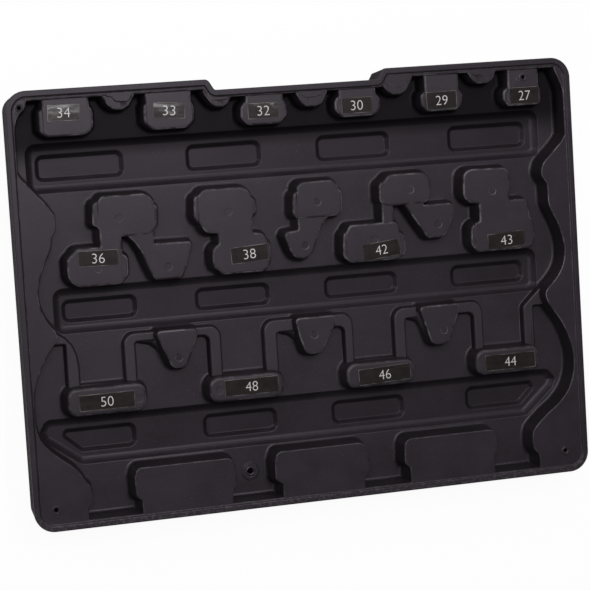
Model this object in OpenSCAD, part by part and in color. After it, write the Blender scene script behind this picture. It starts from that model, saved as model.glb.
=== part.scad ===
// Storage tray for a set of large open-ended spanner heads.
// One hollow moulded panel: a raised rim, a sunken floor, a locating pad for each jaw,
// ribs, three long troughs with pockets in them, and a size label stuck on each pad.
// X runs along the tray, Y towards its notched edge, Z up. The back lies on Z = 0, and the origin
// is at its middle. Positions below count from the corner at the left end of the plain edge.

/* [Panel] */
// Length of the tray along X
tray_w = 370; // [366:1:400]
// Width of the tray along Y, from the plain edge to the notched edge
tray_h = 271; // [269:1:300]
// Depth from the back to the deck
body_depth = 30; // [28:0.5:45]
// Skin thickness all over
wall = 2; // [1.2:0.1:2.6]
// Radius of the four outer corners in plan
corner_r = 13; // [10:0.5:24]
// Distance that the sides lean in from the front to the back
back_lean = 3.4; // [1:0.1:5]
// Bevel along the outer edge of the back
back_bevel = 2.5; // [0.5:0.1:4]
// Bevel along the outer edge of the rim
rim_bevel = 0.8; // [0.2:0.1:1.5]

/* [Rim and notch] */
// Width of the raised rim band
rim_w = 3.4; // [2:0.1:4.5]
// Height of the rim band above the deck
rim_step = 1; // [0.8:0.1:2.5]
// Width from the outer edge to where the floor's wall starts
deck_edge = 5.6; // [5:0.1:7]
// Length of the notch at its floor
notch_w = 107; // [80:1:120]
// Depth of the notch from the edge
notch_d = 6.8; // [3:0.1:8]
// Distance that each end of the notch slopes
notch_slope = 4; // [1:0.5:6]

/* [Floor and relief] */
// Depth of the floor below the deck
floor_drop = 14; // [10:0.5:16]
// Distance of the pad tops below the deck
pad_drop = 1.5; // [0.5:0.1:3]
// Distance of the three-sided pads below the deck
wedge_drop = 2.3; // [1:0.1:4]
// Height of the ribs above the floor
rib_h = 5; // [2:0.5:8]
// Draft of every wall of the relief, in degrees
draft = 8; // [6:0.5:9]
// Depth of the long troughs below the floor
trough_d = 3.5; // [2:0.5:4]
// Width of the sloping side of a trough
trough_side = 5; // [2:0.5:6]
// Depth of the pockets below their trough
pocket_d = 2.5; // [1:0.5:3]
// Width of the sloping side of a pocket
pocket_side = 2.5; // [1:0.5:4]

/* [Pads for the jaws] */
// Width of the pad for size 34
pad_34 = 34; // [30:0.5:36]
// Width of the pad for size 33
pad_33 = 32.4; // [29:0.5:35]
// Width of the pad for size 32
pad_32 = 31; // [28:0.5:34]
// Width of the pad for size 30
pad_30 = 30.4; // [27:0.5:34]
// Width of the pad for size 29
pad_29 = 29; // [26:0.5:32]
// Width of the pad for size 27
pad_27 = 26.6; // [24:0.5:30]
// Width of the pad for size 36
pad_36 = 38.6; // [36:0.5:40]
// Width of the pad for size 38
pad_38 = 38.2; // [36:0.5:40]
// Width of the pad for size 42
pad_42 = 42.2; // [38:0.5:44]
// Width of the pad for size 43
pad_43 = 44; // [40:0.5:46]
// Width of the pad for size 50
pad_50 = 49.6; // [46:0.5:52]
// Width of the pad for size 48
pad_48 = 48; // [44:0.5:50]
// Width of the pad for size 46
pad_46 = 45.4; // [42:0.5:48]
// Width of the pad for size 44
pad_44 = 43.6; // [40:0.5:46]
// Length of the four long pads along Y
long_pad_l = 16; // [14:0.5:17]

/* [Labels] */
// Thickness of a label
label_t = 0.2; // [0.1:0.05:0.5]
// Length of a short label
label_s = 20.5; // [16:0.5:22]
// Length of a middle label
label_m = 25; // [20:0.5:28]
// Length of a long label
label_l = 35; // [30:0.5:38]
// Width of every label
label_h = 10.5; // [8:0.5:12]

/* [Holes] */
// Diameter of the four small holes through the front skin
pin_hole_d = 2; // [1:0.1:3]
// Diameter of the hole in the floor
blow_hole_d = 3; // [1.5:0.1:4]
// Diameter of the raised ring around the hole in the floor
blow_ring_d = 11; // [8:0.5:14]

/* [Hidden] */

tray_colour = "#38343a";
label_colour = "#2c2a1d";

// Heights above the back
z_deck = body_depth;
z_rim = z_deck + rim_step;
z_floor = z_deck - floor_drop;
z_pad = z_deck - pad_drop;
z_wedge = z_deck - wedge_drop;
z_rib = z_floor + rib_h;
z_trough = z_floor - trough_d;
z_pocket = z_trough - pocket_d;
lean = tan(draft);
// How far a cutting shape runs past the face that it cuts
past = 1;
// Steps along the arc of one rounded corner, outside and in the hollow
arc_steps = 4;
hollow_steps = 2;
least_r = 0.4;

// Geometry in plan. A corner is [x, y, r]: a point of the outline and the radius that rounds it.

function unit(v) = v / norm(v);
function cross2(a, b) = a[0] * b[1] - a[1] * b[0];
// Normal to the right of a direction, which points out of an outline drawn anticlockwise
function right_of(v) = [v[1], -v[0]];
// Corner moved out by d along both its edges; its radius grows when it bulges out
function moved(a, b, c, d) =
    let (
        u = unit([b[0] - a[0], b[1] - a[1]]),
        v = unit([c[0] - b[0], c[1] - b[1]]),
        m = (right_of(u) + right_of(v)) * d / (1 + u * v),
        turn = cross2(u, v) >= 0 ? 1 : -1
    )
    [b[0] + m[0], b[1] + m[1], b[2] > 0 ? max(b[2] + turn * d, least_r) : 0];
// Points that round the corner b between its neighbours a and c
function arc_at(a, b, c, steps) =
    let (
        u = unit([b[0] - a[0], b[1] - a[1]]),
        v = unit([c[0] - b[0], c[1] - b[1]]),
        turn = atan2(cross2(u, v), u * v),
        side = turn >= 0 ? 1 : -1,
        back = b[2] * tan(abs(turn) / 2),
        start = [b[0], b[1]] - back * u,
        centre = start - side * b[2] * right_of(u),
        from = atan2(start[1] - centre[1], start[0] - centre[0])
    )
    b[2] == 0 ? [[b[0], b[1]]]
    : [for (i = [0:steps]) let (t = from + turn * i / steps) centre + b[2] * [cos(t), sin(t)]];
// Rounded outline of a closed list of corners, moved out by d
function outline(corners, d = 0, steps = arc_steps) =
    let (
        n = len(corners),
        m = [for (i = [0:n - 1]) moved(corners[(i + n - 1) % n], corners[i], corners[(i + 1) % n], d)]
    )
    [for (i = [0:n - 1]) each arc_at(m[(i + n - 1) % n], m[i], m[(i + 1) % n], steps)];
// The same for an open path, whose two end corners only give its direction and are left out
function path(corners, d = 0, steps = arc_steps) =
    let (
        n = len(corners),
        m = [for (i = [1:n - 2]) moved(corners[i - 1], corners[i], corners[i + 1], d)],
        k = len(m)
    )
    concat(
        [[m[0][0], m[0][1]]],
        [for (i = [1:k - 2]) each arc_at(m[i - 1], m[i], m[i + 1], steps)],
        [[m[k - 1][0], m[k - 1][1]]]
    );
function steps_in(skin) = skin == 0 ? arc_steps : hollow_steps;

// Solid through one ring of points for each level; rings have equal counts and run anticlockwise
module rings(rings, heights) {
    n = len(rings[0]);
    last = len(rings) - 1;
    points = [for (k = [0:last]) for (p = rings[k]) [p[0], p[1], heights[k]]];
    sides = [
        for (k = [0:last - 1]) for (i = [0:n - 1])
            let (j = (i + 1) % n)
            [k * n + i, (k + 1) * n + i, (k + 1) * n + j, k * n + j]
    ];
    polyhedron(
        points,
        concat([[for (i = [0:n - 1]) i]], [[for (i = [n - 1:-1:0]) last * n + i]], sides)
    );
}

// Solid between a left and a right path with equal counts, seen along their direction
module band(left, right, heights) {
    n = len(left[0]);
    last = len(left) - 1;
    function l_at(k, i) = 2 * n * k + i;
    function r_at(k, i) = l_at(k, n + i);
    points = [
        for (k = [0:last]) each concat(
            [for (p = left[k]) [p[0], p[1], heights[k]]],
            [for (p = right[k]) [p[0], p[1], heights[k]]]
        )
    ];
    caps = [
        for (i = [0:n - 2]) each [
            [l_at(0, i), r_at(0, i), r_at(0, i + 1), l_at(0, i + 1)],
            [l_at(last, i), l_at(last, i + 1), r_at(last, i + 1), r_at(last, i)]
        ]
    ];
    long_sides = [
        for (k = [0:last - 1]) for (i = [0:n - 2]) each [
            [l_at(k, i + 1), l_at(k + 1, i + 1), l_at(k + 1, i), l_at(k, i)],
            [r_at(k, i), r_at(k + 1, i), r_at(k + 1, i + 1), r_at(k, i + 1)]
        ]
    ];
    ends = [
        for (k = [0:last - 1]) each [
            [l_at(k, 0), l_at(k + 1, 0), r_at(k + 1, 0), r_at(k, 0)],
            [r_at(k, n - 1), r_at(k + 1, n - 1), l_at(k + 1, n - 1), l_at(k, n - 1)]
        ]
    ];
    polyhedron(points, concat(caps, long_sides, ends));
}

// The layout's positions are given on a plan of this size, and they spread with the tray's two sizes
plan_w = 370;
plan_h = 271;
function ax(x) = x * tray_w / plan_w;
function ay(y) = y * tray_h / plan_h;
function laid(corners) = [for (c = corners) [ax(c[0]), ay(c[1]), c[2]]];
// Position along X that keeps its distance from the nearer end of the tray
function end_x(x) = x < plan_w / 2 ? x : tray_w - (plan_w - x);

// The panel's outline from above

notch_x0 = (tray_w - notch_w) / 2;
notch_x1 = (tray_w + notch_w) / 2;
notch_outer_r = 4;
notch_inner_r = 2;
// Upper half of the outline, from the straight of the left end to that of the right end
upper_corners = [
    [0, 0, 0],
    [0, corner_r, 0],
    [0, tray_h, corner_r],
    [notch_x0 - notch_slope, tray_h, notch_outer_r],
    [notch_x0, tray_h - notch_d, notch_inner_r],
    [notch_x1, tray_h - notch_d, notch_inner_r],
    [notch_x1 + notch_slope, tray_h, notch_outer_r],
    [tray_w, tray_h, corner_r],
    [tray_w, corner_r, 0],
    [tray_w, 0, 0]
];
function upper_half(d) =
    let (p = path(upper_corners, -d))
    [for (i = [1:len(p) - 2]) p[i]];
// Lower half, point for point under the upper half: its corners mirror, and its edge is straight
function lower_half(d) = [
    for (p = upper_half(d)) [
        p[0],
        p[0] > notch_x0 - 3 * notch_slope && p[0] < notch_x1 + 3 * notch_slope ? -d : tray_h - p[1]
    ]
];

// Solid with the panel's outline; each level is [height, distance that the outline moves out]
module panel_shape(levels) {
    band(
        [for (l = levels) upper_half(l[1])],
        [for (l = levels) lower_half(l[1])],
        [for (l = levels) l[0]]
    );
}

// Distance that the side at this height lies in from the outline at the rim
function side_in(z) = back_lean * (1 - z / (z_rim - rim_bevel));
hidden_gap = 0.15;
// The same to a face that is hidden just inside the side
function hidden_in(z, skin) = side_in(z) + skin + hidden_gap;

// The whole panel without its relief, drawn in by inset on every side
module panel(inset, top) {
    panel_shape([
        [inset, -side_in(inset) - inset - max(back_bevel - inset, least_r)],
        [max(back_bevel, inset + least_r), -side_in(back_bevel) - inset],
        [top - rim_bevel - inset, -side_in(top - rim_bevel) - inset],
        [top - inset, -side_in(top - rim_bevel) - inset - rim_bevel]
    ]);
}

// How far the notch cuts into the edge above these corners
function edge_depth(corners) =
    max([for (c = corners) c[0]]) > notch_x0 - notch_slope
    && min([for (c = corners) c[0]]) < notch_x1 + notch_slope ? notch_d : 0;

// Raised feature of the relief; skin is 0 for the outside and the wall for the hollow inside.
// What would reach past the tray's long sides, or past the notch, ends hidden in the deck strip.
module raised(corners, top, skin) {
    base = z_pocket - skin - past;
    notch = edge_depth(corners);
    rings(
        [
            for (z = [base, top - skin])
                let (stop = hidden_in(z, skin), out = (top - skin - z) * lean - skin)
                [for (p = outline(corners, out, steps_in(skin))) [p[0], min(max(p[1], stop), tray_h - notch - stop)]]
        ],
        [base, top - skin]
    );
}

// Sunken feature that narrows by side over its depth
module sunken(corners, top, depth, side, skin) {
    slope = side / depth;
    rings(
        [for (d = [skin - side, skin + past * slope]) outline(corners, d, steps_in(skin))],
        [top - skin - depth, top - skin + past]
    );
}

function box_corners(x0, y0, x1, y1, r) = [[x0, y0, r], [x1, y0, r], [x1, y1, r], [x0, y1, r]];

// The floor's outline follows the panel's, and its walls lean in towards the floor
module floor_well(skin) {
    fall = floor_drop * lean;
    panel_shape([
        [z_floor - skin, skin - deck_edge - fall],
        [z_deck + rim_step + past, skin - deck_edge + (rim_step + past) * lean]
    ]);
}

// Inside of the rim band, down to the deck
module deck_cut() {
    panel_shape([[z_deck, -rim_w], [z_rim + past, -rim_w]]);
}

// Plateaus at deck height along both ends of the floor, each with a wavy edge.
// A point is [distance from the end of the tray, distance from the notched edge, r].
left_edge = [
    [13, 12, 2], [8, 14, 3], [3.6, 31, 30], [3.6, 48, 12],
    [25.6, 73, 10], [25.6, 88, 6], [11.6, 119, 24], [11.8, 134, 14], [23.5, 152, 2], [4.4, 183, 30],
    [4.4, 208, 12], [29.5, 232, 10], [34.5, 242, 2], [38, 245, 3], [38, 256, 2], [34.6, 259, 1]
];
right_edge = [
    [12.4, 11.5, 2], [3.8, 26, 26], [3.8, 47, 10],
    [23, 66.5, 3], [23, 78, 2], [19, 80.5, 1.5], [19, 95, 10], [8.8, 117, 20], [8.8, 132, 16],
    [26, 152.5, 6], [6.6, 187, 26], [6.6, 207, 20], [24, 227.5, 14], [34, 239.5, 1.5],
    [38.3, 241.5, 2], [38.3, 253, 2], [34, 257, 1.5]
];
// Each end of the edge has points this far from where it starts too, to round the tray's corner
corner_steps = [1.25, 4.5];
// How far from the end of the tray the hidden side of a plateau lies, at y
function hidden_x(y, stop) =
    let (
        near = min(y, tray_h - y),
        r = corner_r - stop
    )
    near >= corner_r ? stop : corner_r - sqrt(max(pow(r, 2) - pow(corner_r - near, 2), 0));
// Distance from the notched edge at which a point of the plan lies: both ends keep this length
plateau_end = 14;
function spread_y(y) =
    y < plateau_end ? y
    : y > plan_h - plateau_end ? tray_h - (plan_h - y)
    : plateau_end + (y - plateau_end) * (tray_h - 2 * plateau_end) / (plan_h - 2 * plateau_end);
// The edge at height z, run on to both long sides and never nearer the end than its hidden side
function plateau_edge(plan_edge, z, skin) =
    let (
        stop = hidden_in(z, skin),
        far = tray_h - stop,
        edge = [for (p = plan_edge) [p[0], spread_y(p[1]), p[2]]],
        x0 = edge[0][0],
        x1 = edge[len(edge) - 1][0],
        run = concat(
            [for (d = [-past, 0, corner_steps[0], corner_steps[1]]) [x0, stop + d, 0]],
            edge,
            [for (d = [-corner_steps[1], -corner_steps[0], 0, past]) [x1, far + d, 0]]
        )
    )
    [
        for (p = path(run, (z_deck - skin - z) * lean - skin, steps_in(skin)))
            [max(p[0], hidden_x(p[1], stop) + least_r), tray_h - p[1]]
    ];
// Its hidden side, point for point
function plateau_back(edge, z, skin) =
    [for (p = plateau_edge(edge, z, skin)) [hidden_x(p[1], hidden_in(z, skin)), p[1]]];
function mirrored(points) = [for (p = points) [tray_w - p[0], p[1]]];

module plateaus(skin) {
    heights = [z_pocket - skin - past, z_deck - skin];
    band(
        [for (z = heights) plateau_edge(left_edge, z, skin)],
        [for (z = heights) plateau_back(left_edge, z, skin)],
        heights
    );
    band(
        [for (z = heights) mirrored(plateau_back(right_edge, z, skin))],
        [for (z = heights) mirrored(plateau_edge(right_edge, z, skin))],
        heights
    );
}

// First row: pads that hang from the notched edge, one for each of the six smaller jaws. Each is
// [size, x, width, length of the head, step in to the neck, label's x from the pad's and distance
// from the notched edge, label's tilt].
top_pads = [
    [34, 38, pad_34, 18, 2.3, -1.8, 14.6, 0], [33, 102.1, pad_33, 17, 1.9, 0.3, 17.6, -1],
    [32, 163.3, pad_32, 14.5, 2.7, -0.3, 21.6, -0.5], [30, 225.3, pad_30, 13.5, 3, -0.8, 22.1, 0],
    [29, 282.1, pad_29, 13, 3, -0.3, 22.5, 0.5], [27, 337.4, pad_27, 12, 2.3, 1.2, 23, 0]
];
// Ends of the heads, from the notched edge
top_pad_end = 29.4;
head_r = 4.2;
neck_root = 6;

module top_pad(p, skin) {
    x = ax(p[1]);
    half = p[2] / 2;
    neck = half - p[4];
    y0 = tray_h - top_pad_end;
    raised(box_corners(x - half, y0, x + half, y0 + p[3], head_r), z_pad, skin);
    raised(box_corners(x - neck, y0 + neck_root, x + neck, tray_h, 0), z_pad, skin);
}

// Half-round tabs between them: [x, start and tip from the notched edge, widths there]
tabs = [
    [71.3, 5.6, 13.8, 21, 9], [136.5, 12, 17, 16, 8], [195, 12.5, 21, 22, 10],
    [252.6, 9, 16.7, 19, 10], [311, 5.6, 13.3, 19, 9]
];
tab_drop = 1;
tab_r = 4;

module tab(t, skin) {
    x = ax(t[0]);
    raised(
        [
            [x - t[4] / 2, tray_h - t[2], tab_r],
            [x + t[4] / 2, tray_h - t[2], tab_r],
            [x + t[3] / 2, tray_h - t[1], 0],
            [x + t[3] / 2, tray_h, 0],
            [x - t[3] / 2, tray_h, 0],
            [x - t[3] / 2, tray_h - t[1], 0]
        ],
        z_deck - tab_drop, skin
    );
}

// Second row: four lower pads on which the labels sit. Each is
// [size, x, y0, width, length, r, label's x from the pad's and y from its lower side, label's tilt].
row_2_lower = [
    [36, 51.1, 148.9, pad_36, 24.1, 8, 0.3, 16.7, -1], [38, 143, 149, pad_38, 21, 7, 4.9, 12, 3],
    [42, 230.5, 148.6, pad_42, 19, 7, 4.8, 8.2, 5], [43, 319, 148.6, pad_43, 20.2, 7, 1.9, 7.3, 3]
];
// Five upper pads, [x0, y0, x1, y1, r]
row_2_upper = [
    [49.9, 179.4, 90, 204.5, 6], [113.4, 176.4, 153, 204, 7], [178, 180, 211, 204, 5],
    [236, 184, 271, 204, 6], [292.6, 179.8, 327, 204, 6.5]
];
// Necks that join them
row_2_necks = [
    [53.4, 168, 67, 182, 0], [128, 165, 151.6, 180, 0], [132, 165, 159, 173.8, 4],
    [237.8, 170, 245.2, 188, 0], [209.6, 155, 247.6, 173.6, 5], [303.5, 165, 337.5, 181.6, 3.5]
];
// Three-sided pads beside them
row_2_wedges = [
    [[86.9, 149.3, 2], [104.4, 149.3, 2], [112, 173, 3], [74.8, 173, 0]],
    [[76.4, 170, 0], [88.4, 170, 0], [88.4, 181, 0], [70.8, 181, 0]],
    [[179.5, 155, 4], [187.5, 155, 4], [196.5, 173.2, 0], [171.4, 173.2, 1.5]],
    [[180, 170, 0], [194.5, 170, 0], [201.5, 182, 0], [180, 182, 0]],
    [[268.5, 161, 4], [279.5, 161, 4], [288.5, 182.6, 3], [253.8, 182.6, 0]],
    [[256, 181, 0], [270, 181, 0], [270, 186, 0], [256, 186, 0]]
];

// Third row: four long pads, [size, x, width, label's x from the pad's, label's y from its middle,
// label's tilt], and the three-sided pads between them
row_3_pads = [
    [50, 51.1, pad_50, -0.3, 0, 0], [48, 140.4, pad_48, 3.5, 0, 0],
    [46, 230.2, pad_46, 2.2, -0.6, 2], [44, 317.4, pad_44, 1.9, -0.6, 0]
];
row_3_y = 69.6;
long_pad_r = 6;
row_3_wedges = [
    [[94, 93.4, 4], [103, 93.4, 4], [111, 117.7, 1], [84, 117.7, 1]],
    [[181.5, 93.6, 4], [191.3, 93.6, 4], [201.6, 117.7, 1], [174.6, 117.7, 1]],
    [[266.8, 91.8, 4], [277.5, 91.8, 4], [288.3, 117.7, 1], [258.5, 117.7, 1]]
];
// Ribs that run from pad to pad round the wedges: [x0, x1, inner y]
arches = [[65.5, 127.9, 111.5], [156.3, 215.5, 109], [243.6, 304.5, 110]];
rib_w = 7.2;
arch_y = 117;
arch_r = 6;
// Ribs root inside the long pads at this distance below their far side
rib_root = 3;
// Where the ribs end inside the long pads
rib_y = ay(row_3_y) + long_pad_l - rib_root;
side_ribs = [
    [[28.8, 0, 0], [36.4, 0, 0], [36.4, 115, 6], [28.8, 115, 0]],
    [[18, 113.8, 0], [35.3, 113.8, 0], [30.5, 119.2, 4], [22.5, 123, 0], [18, 123, 0]],
    [[333.2, 0, 0], [340.3, 0, 0], [340.3, 112, 0], [333.2, 112, 0]],
    [[333.6, 111.2, 0], [352, 111.2, 0], [352, 121, 0], [345.5, 122.4, 0], [333.2, 112, 0]]
];

module side_rib(r) {
    raised([for (c = laid(r)) [c[0], max(c[1], rib_y), c[2]]], z_rib, 0);
}

module arch(a) {
    x0 = ax(a[0]);
    x1 = ax(a[1]);
    y1 = ay(arch_y);
    grow = (z_rib - z_pocket) * lean;
    outer = [[x0, rib_y - 2, 0], [x0, rib_y - 1, 0], [x0, rib_y, 0], [x0, y1, arch_r],
        [x1, y1, arch_r], [x1, rib_y, 0], [x1, rib_y - 1, 0], [x1, rib_y - 2, 0]];
    inner = [[x0 + rib_w, rib_y - 2, 0], [x0 + rib_w, rib_y - 1, 0], [x0 + rib_w, rib_y, 0],
        [x0 + rib_w, ay(a[2]), 1], [x1 - rib_w, ay(a[2]), 1], [x1 - rib_w, rib_y, 0],
        [x1 - rib_w, rib_y - 1, 0], [x1 - rib_w, rib_y - 2, 0]];
    band([path(outer, -grow), path(outer)], [path(inner, grow), path(inner)], [z_pocket, z_rib]);
}

// Bottom row: three plain pads at deck height that hang from the plain edge, [x0, x1, y1]
bottom_pads = [[64.7, 129.5, 33.8], [155.8, 218, 34.4], [242.8, 306, 33.6]];
bottom_neck_in = 3.4;
bottom_head_y = 14;
bottom_r = 7;

module bottom_pad(p, skin) {
    x0 = ax(p[0]);
    x1 = ax(p[1]);
    raised(box_corners(x0, bottom_head_y, x1, p[2], bottom_r), z_deck, skin);
    raised(
        box_corners(x0 + bottom_neck_in, 0, x1 - bottom_neck_in, bottom_head_y + bottom_r, 0),
        z_deck, skin
    );
}

// Troughs across the floor, as corner lists, and the pockets in them
troughs = [
    box_corners(12.9, 207.3, 352, 237.9, 6),
    box_corners(23.7, 119.8, 345.9, 148, 6),
    [[35, 37.7, 8], [333.8, 37.7, 8], [356.5, 57, 8], [351, 67.5, 6], [12.5, 67.5, 6], [8.5, 57, 8]]
];
pocket_r = 4.5;
pockets = [
    box_corners(19.2, 214.2, 75, 230.9, pocket_r), box_corners(115, 214.2, 164.1, 230.9, pocket_r),
    box_corners(200.6, 214.2, 250.2, 230.9, pocket_r), box_corners(290.2, 214.2, 343.8, 230.9, pocket_r),
    box_corners(29.5, 126.2, 77.6, 140.7, pocket_r), box_corners(115, 126.2, 164.1, 140.7, pocket_r),
    box_corners(200.6, 126.2, 250.2, 140.7, pocket_r), box_corners(287.1, 126.2, 337.7, 140.7, pocket_r),
    [[37, 45, 4], [71.5, 45, pocket_r], [71.5, 60.4, pocket_r], [26, 60.4, 2.5], [23.5, 55.5, 2.5]],
    box_corners(115, 45, 164.1, 60.4, pocket_r), box_corners(200.6, 45, 250.2, 60.4, pocket_r),
    [[292.7, 45, pocket_r], [330, 45, 4], [341.8, 55.5, 2.5], [339.5, 60.4, 2.5], [292.7, 60.4, pocket_r]]
];

module relief(skin) {
    plateaus(skin);
    for (p = top_pads) top_pad(p, skin);
    for (t = tabs) tab(t, skin);
    for (p = row_2_lower)
        raised(
            box_corners(ax(p[1]) - p[3] / 2, ay(p[2]), ax(p[1]) + p[3] / 2, ay(p[2]) + p[4], p[5]),
            z_pad, skin
        );
    for (p = concat(row_2_upper, row_2_necks))
        raised(laid(box_corners(p[0], p[1], p[2], p[3], p[4])), z_pad, skin);
    for (w = concat(row_2_wedges, row_3_wedges)) raised(laid(w), z_wedge, skin);
    for (p = row_3_pads)
        raised(
            box_corners(
                ax(p[1]) - p[2] / 2, ay(row_3_y), ax(p[1]) + p[2] / 2, ay(row_3_y) + long_pad_l, long_pad_r
            ),
            z_pad, skin
        );
    for (p = bottom_pads) bottom_pad(p, skin);
}

// The panel with its relief, drawn in by skin: 0 gives the outside, wall gives the hollow inside
module moulding(skin) {
    difference() {
        panel(skin, skin == 0 ? z_rim : z_deck);
        if (skin == 0) deck_cut();
        floor_well(skin);
        for (t = troughs)
            sunken([for (c = t) [end_x(c[0]), ay(c[1]), c[2]]], z_floor, trough_d, trough_side, skin);
        for (p = pockets) sunken(laid(p), z_trough, pocket_d, pocket_side, skin);
    }
    relief(skin);
}

// Small holes where the moulding needles went in: [x, y], three in the deck and one in a neck
pin_holes = [
    [9.5, tray_h - 10], [14, 14], [tray_w - 16, 15], [ax(top_pads[5][1]) + 1.2, tray_h - 10.7]
];
blow_hole = [ax(142.9), 22.1];
blow_ring_t = 0.5;

// Moves what is drawn from that corner onto the origin
module placed() {
    translate([-tray_w / 2, -tray_h / 2, 0]) children();
}

module tray() {
    color(tray_colour) placed() difference() {
        union() {
            moulding(0);
            for (a = arches) arch(a);
            for (r = side_ribs) side_rib(r);
            translate([blow_hole[0], blow_hole[1], z_floor - past])
                cylinder(h = past + blow_ring_t, d = blow_ring_d, $fn = 48);
        }
        moulding(wall);
        for (p = pin_holes)
            translate([p[0], p[1], z_deck - wall - 2 * pad_drop])
                cylinder(h = wall + 2 * pad_drop + past, d = pin_hole_d, $fn = 24);
        translate([blow_hole[0], blow_hole[1], z_floor - wall - past])
            cylinder(h = wall + 3 * past, d = blow_hole_d, $fn = 32);
    }
}

// Labels: [size, x, y, length, tilt in degrees]
labels = concat(
    [for (p = top_pads) [p[0], ax(p[1]) + p[5], tray_h - p[6], label_s, p[7]]],
    [for (p = row_2_lower) [p[0], ax(p[1]) + p[6], ay(p[2]) + p[7], label_m, p[8]]],
    [for (p = row_3_pads) [p[0], ax(p[1]) + p[3], ay(row_3_y) + long_pad_l / 2 + p[4], label_l, p[5]]]
);

module label(size) {
    for (l = labels) if (l[0] == size)
        color(label_colour) placed() translate([l[1], l[2], z_pad]) rotate([0, 0, l[4]])
            translate([-l[3] / 2, -label_h / 2, 0]) cube([l[3], label_h, label_t]);
}

tray();
label(34);  // label_34
label(33);  // label_33
label(32);  // label_32
label(30);  // label_30
label(29);  // label_29
label(27);  // label_27
label(36);  // label_36
label(38);  // label_38
label(42);  // label_42
label(43);  // label_43
label(50);  // label_50
label(48);  // label_48
label(46);  // label_46
label(44);  // label_44
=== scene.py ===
"""Looks of the tool storage tray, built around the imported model.

Lengths are millimetres, counted from the corner at the left end of the plain edge,
until a mesh is made: to_frame() then gives metres in the frame.
"""

import math
import random

import bpy
import numpy as np
from mathutils import Matrix, Vector
from mathutils.geometry import delaunay_2d_cdt


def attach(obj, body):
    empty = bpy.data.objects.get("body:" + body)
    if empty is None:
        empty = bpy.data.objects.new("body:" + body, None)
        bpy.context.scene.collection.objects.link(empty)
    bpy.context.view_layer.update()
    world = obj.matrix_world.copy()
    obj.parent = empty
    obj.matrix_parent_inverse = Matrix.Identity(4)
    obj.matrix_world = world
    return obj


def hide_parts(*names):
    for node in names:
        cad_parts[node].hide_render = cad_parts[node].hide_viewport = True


TRAY_W, TRAY_H = 370.0, 271.0
Z_RIM, Z_DECK, Z_TAB, Z_PAD, Z_WEDGE = 31.0, 30.0, 29.2, 28.5, 27.7
Z_RIB, Z_FILL, Z_FLOOR, TROUGH_D, POCKET_D = 21.0, 20.5, 16.0, 3.5, 2.5
TROUGH_SIDE, POCKET_SIDE = 5.0, 2.5
RIM_W = 3.4
EDGE_R, FOOT_R = 0.9, 2.0
GRID = 0.5

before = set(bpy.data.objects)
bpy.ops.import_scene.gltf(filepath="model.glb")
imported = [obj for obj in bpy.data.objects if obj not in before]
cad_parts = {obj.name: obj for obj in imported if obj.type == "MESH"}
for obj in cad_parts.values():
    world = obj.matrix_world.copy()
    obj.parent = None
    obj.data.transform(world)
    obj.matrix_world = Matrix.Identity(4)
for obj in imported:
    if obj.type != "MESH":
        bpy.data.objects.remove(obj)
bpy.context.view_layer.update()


def to_frame(points):
    """Millimetres from the corner to metres in the frame."""
    p = np.asarray(points, float)
    return (p - np.array([TRAY_W / 2, TRAY_H / 2, 0.0])) / 1000.0


# Outlines in plan


def arc(a, b, c, steps):
    """Points that round the corner b, whose third number is its radius, between a and c."""
    u = np.subtract(b[:2], a[:2])
    v = np.subtract(c[:2], b[:2])
    u, v = u / np.hypot(*u), v / np.hypot(*v)
    if b[2] <= 0:
        return [np.array(b[:2], float)] * (steps + 1)
    turn = math.atan2(u[0] * v[1] - u[1] * v[0], u @ v)
    side = 1 if turn >= 0 else -1
    start = np.array(b[:2]) - u * b[2] * math.tan(abs(turn) / 2)
    centre = start - side * b[2] * np.array([u[1], -u[0]])
    first = math.atan2(*(start - centre)[::-1])
    angles = first + turn * np.arange(steps + 1) / steps
    return [centre + b[2] * np.array([math.cos(t), math.sin(t)]) for t in angles]


COMMON_R = 1.5


def rounded(corners, steps=7, soften=1.0):
    """Closed outline through (x, y, r) corners, drawn anticlockwise; a radius fits its edges, and is
    COMMON_R where a corner has none. Softening widens the larger radii."""
    corners = [(*c, COMMON_R)[:3] for c in corners]
    n = len(corners)
    flat = np.array([c[:2] for c in corners], float)
    edge = np.hypot(*(np.roll(flat, -1, 0) - flat).T)
    points = []
    for i in range(n):
        a, b, c = (corners[k % n] for k in (i - 1, i, i + 1))
        u, v = flat[i] - flat[i - 1], flat[(i + 1) % n] - flat[i]
        turn = abs(math.atan2(u[0] * v[1] - u[1] * v[0], u @ v))
        most = 0.48 * min(edge[i - 1], edge[i]) / max(math.tan(turn / 2), 1e-3)
        wish = b[2] * (soften if b[2] >= COMMON_R else 1)
        points += arc(a, (b[0], b[1], min(wish, most)), c, steps)
    keep = [p for i, p in enumerate(points) if np.hypot(*(p - points[i - 1])) > 1e-3]
    return np.array(keep)


def box(x0, y0, x1, y1, r):
    return rounded([(x0, y0, r), (x1, y0, r), (x1, y1, r), (x0, y1, r)])


def smooth(points, rounds=3):
    """Smooths an open line by cutting its corners; both ends stay."""
    p = np.array(points, float)
    for _ in range(rounds):
        q, r = p[:-1] * 0.75 + p[1:] * 0.25, p[:-1] * 0.25 + p[1:] * 0.75
        p = np.vstack([p[:1], np.stack([q, r], 1).reshape(-1, 2), p[-1:]])
    return p


def disc(x, y, r, steps=28):
    t = np.arange(steps) * 2 * math.pi / steps
    return np.column_stack([x + r * np.cos(t), y + r * np.sin(t)])


def closed(points):
    """The outline as a line that ends where it starts."""
    return np.vstack([points, points[:1]])


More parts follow.
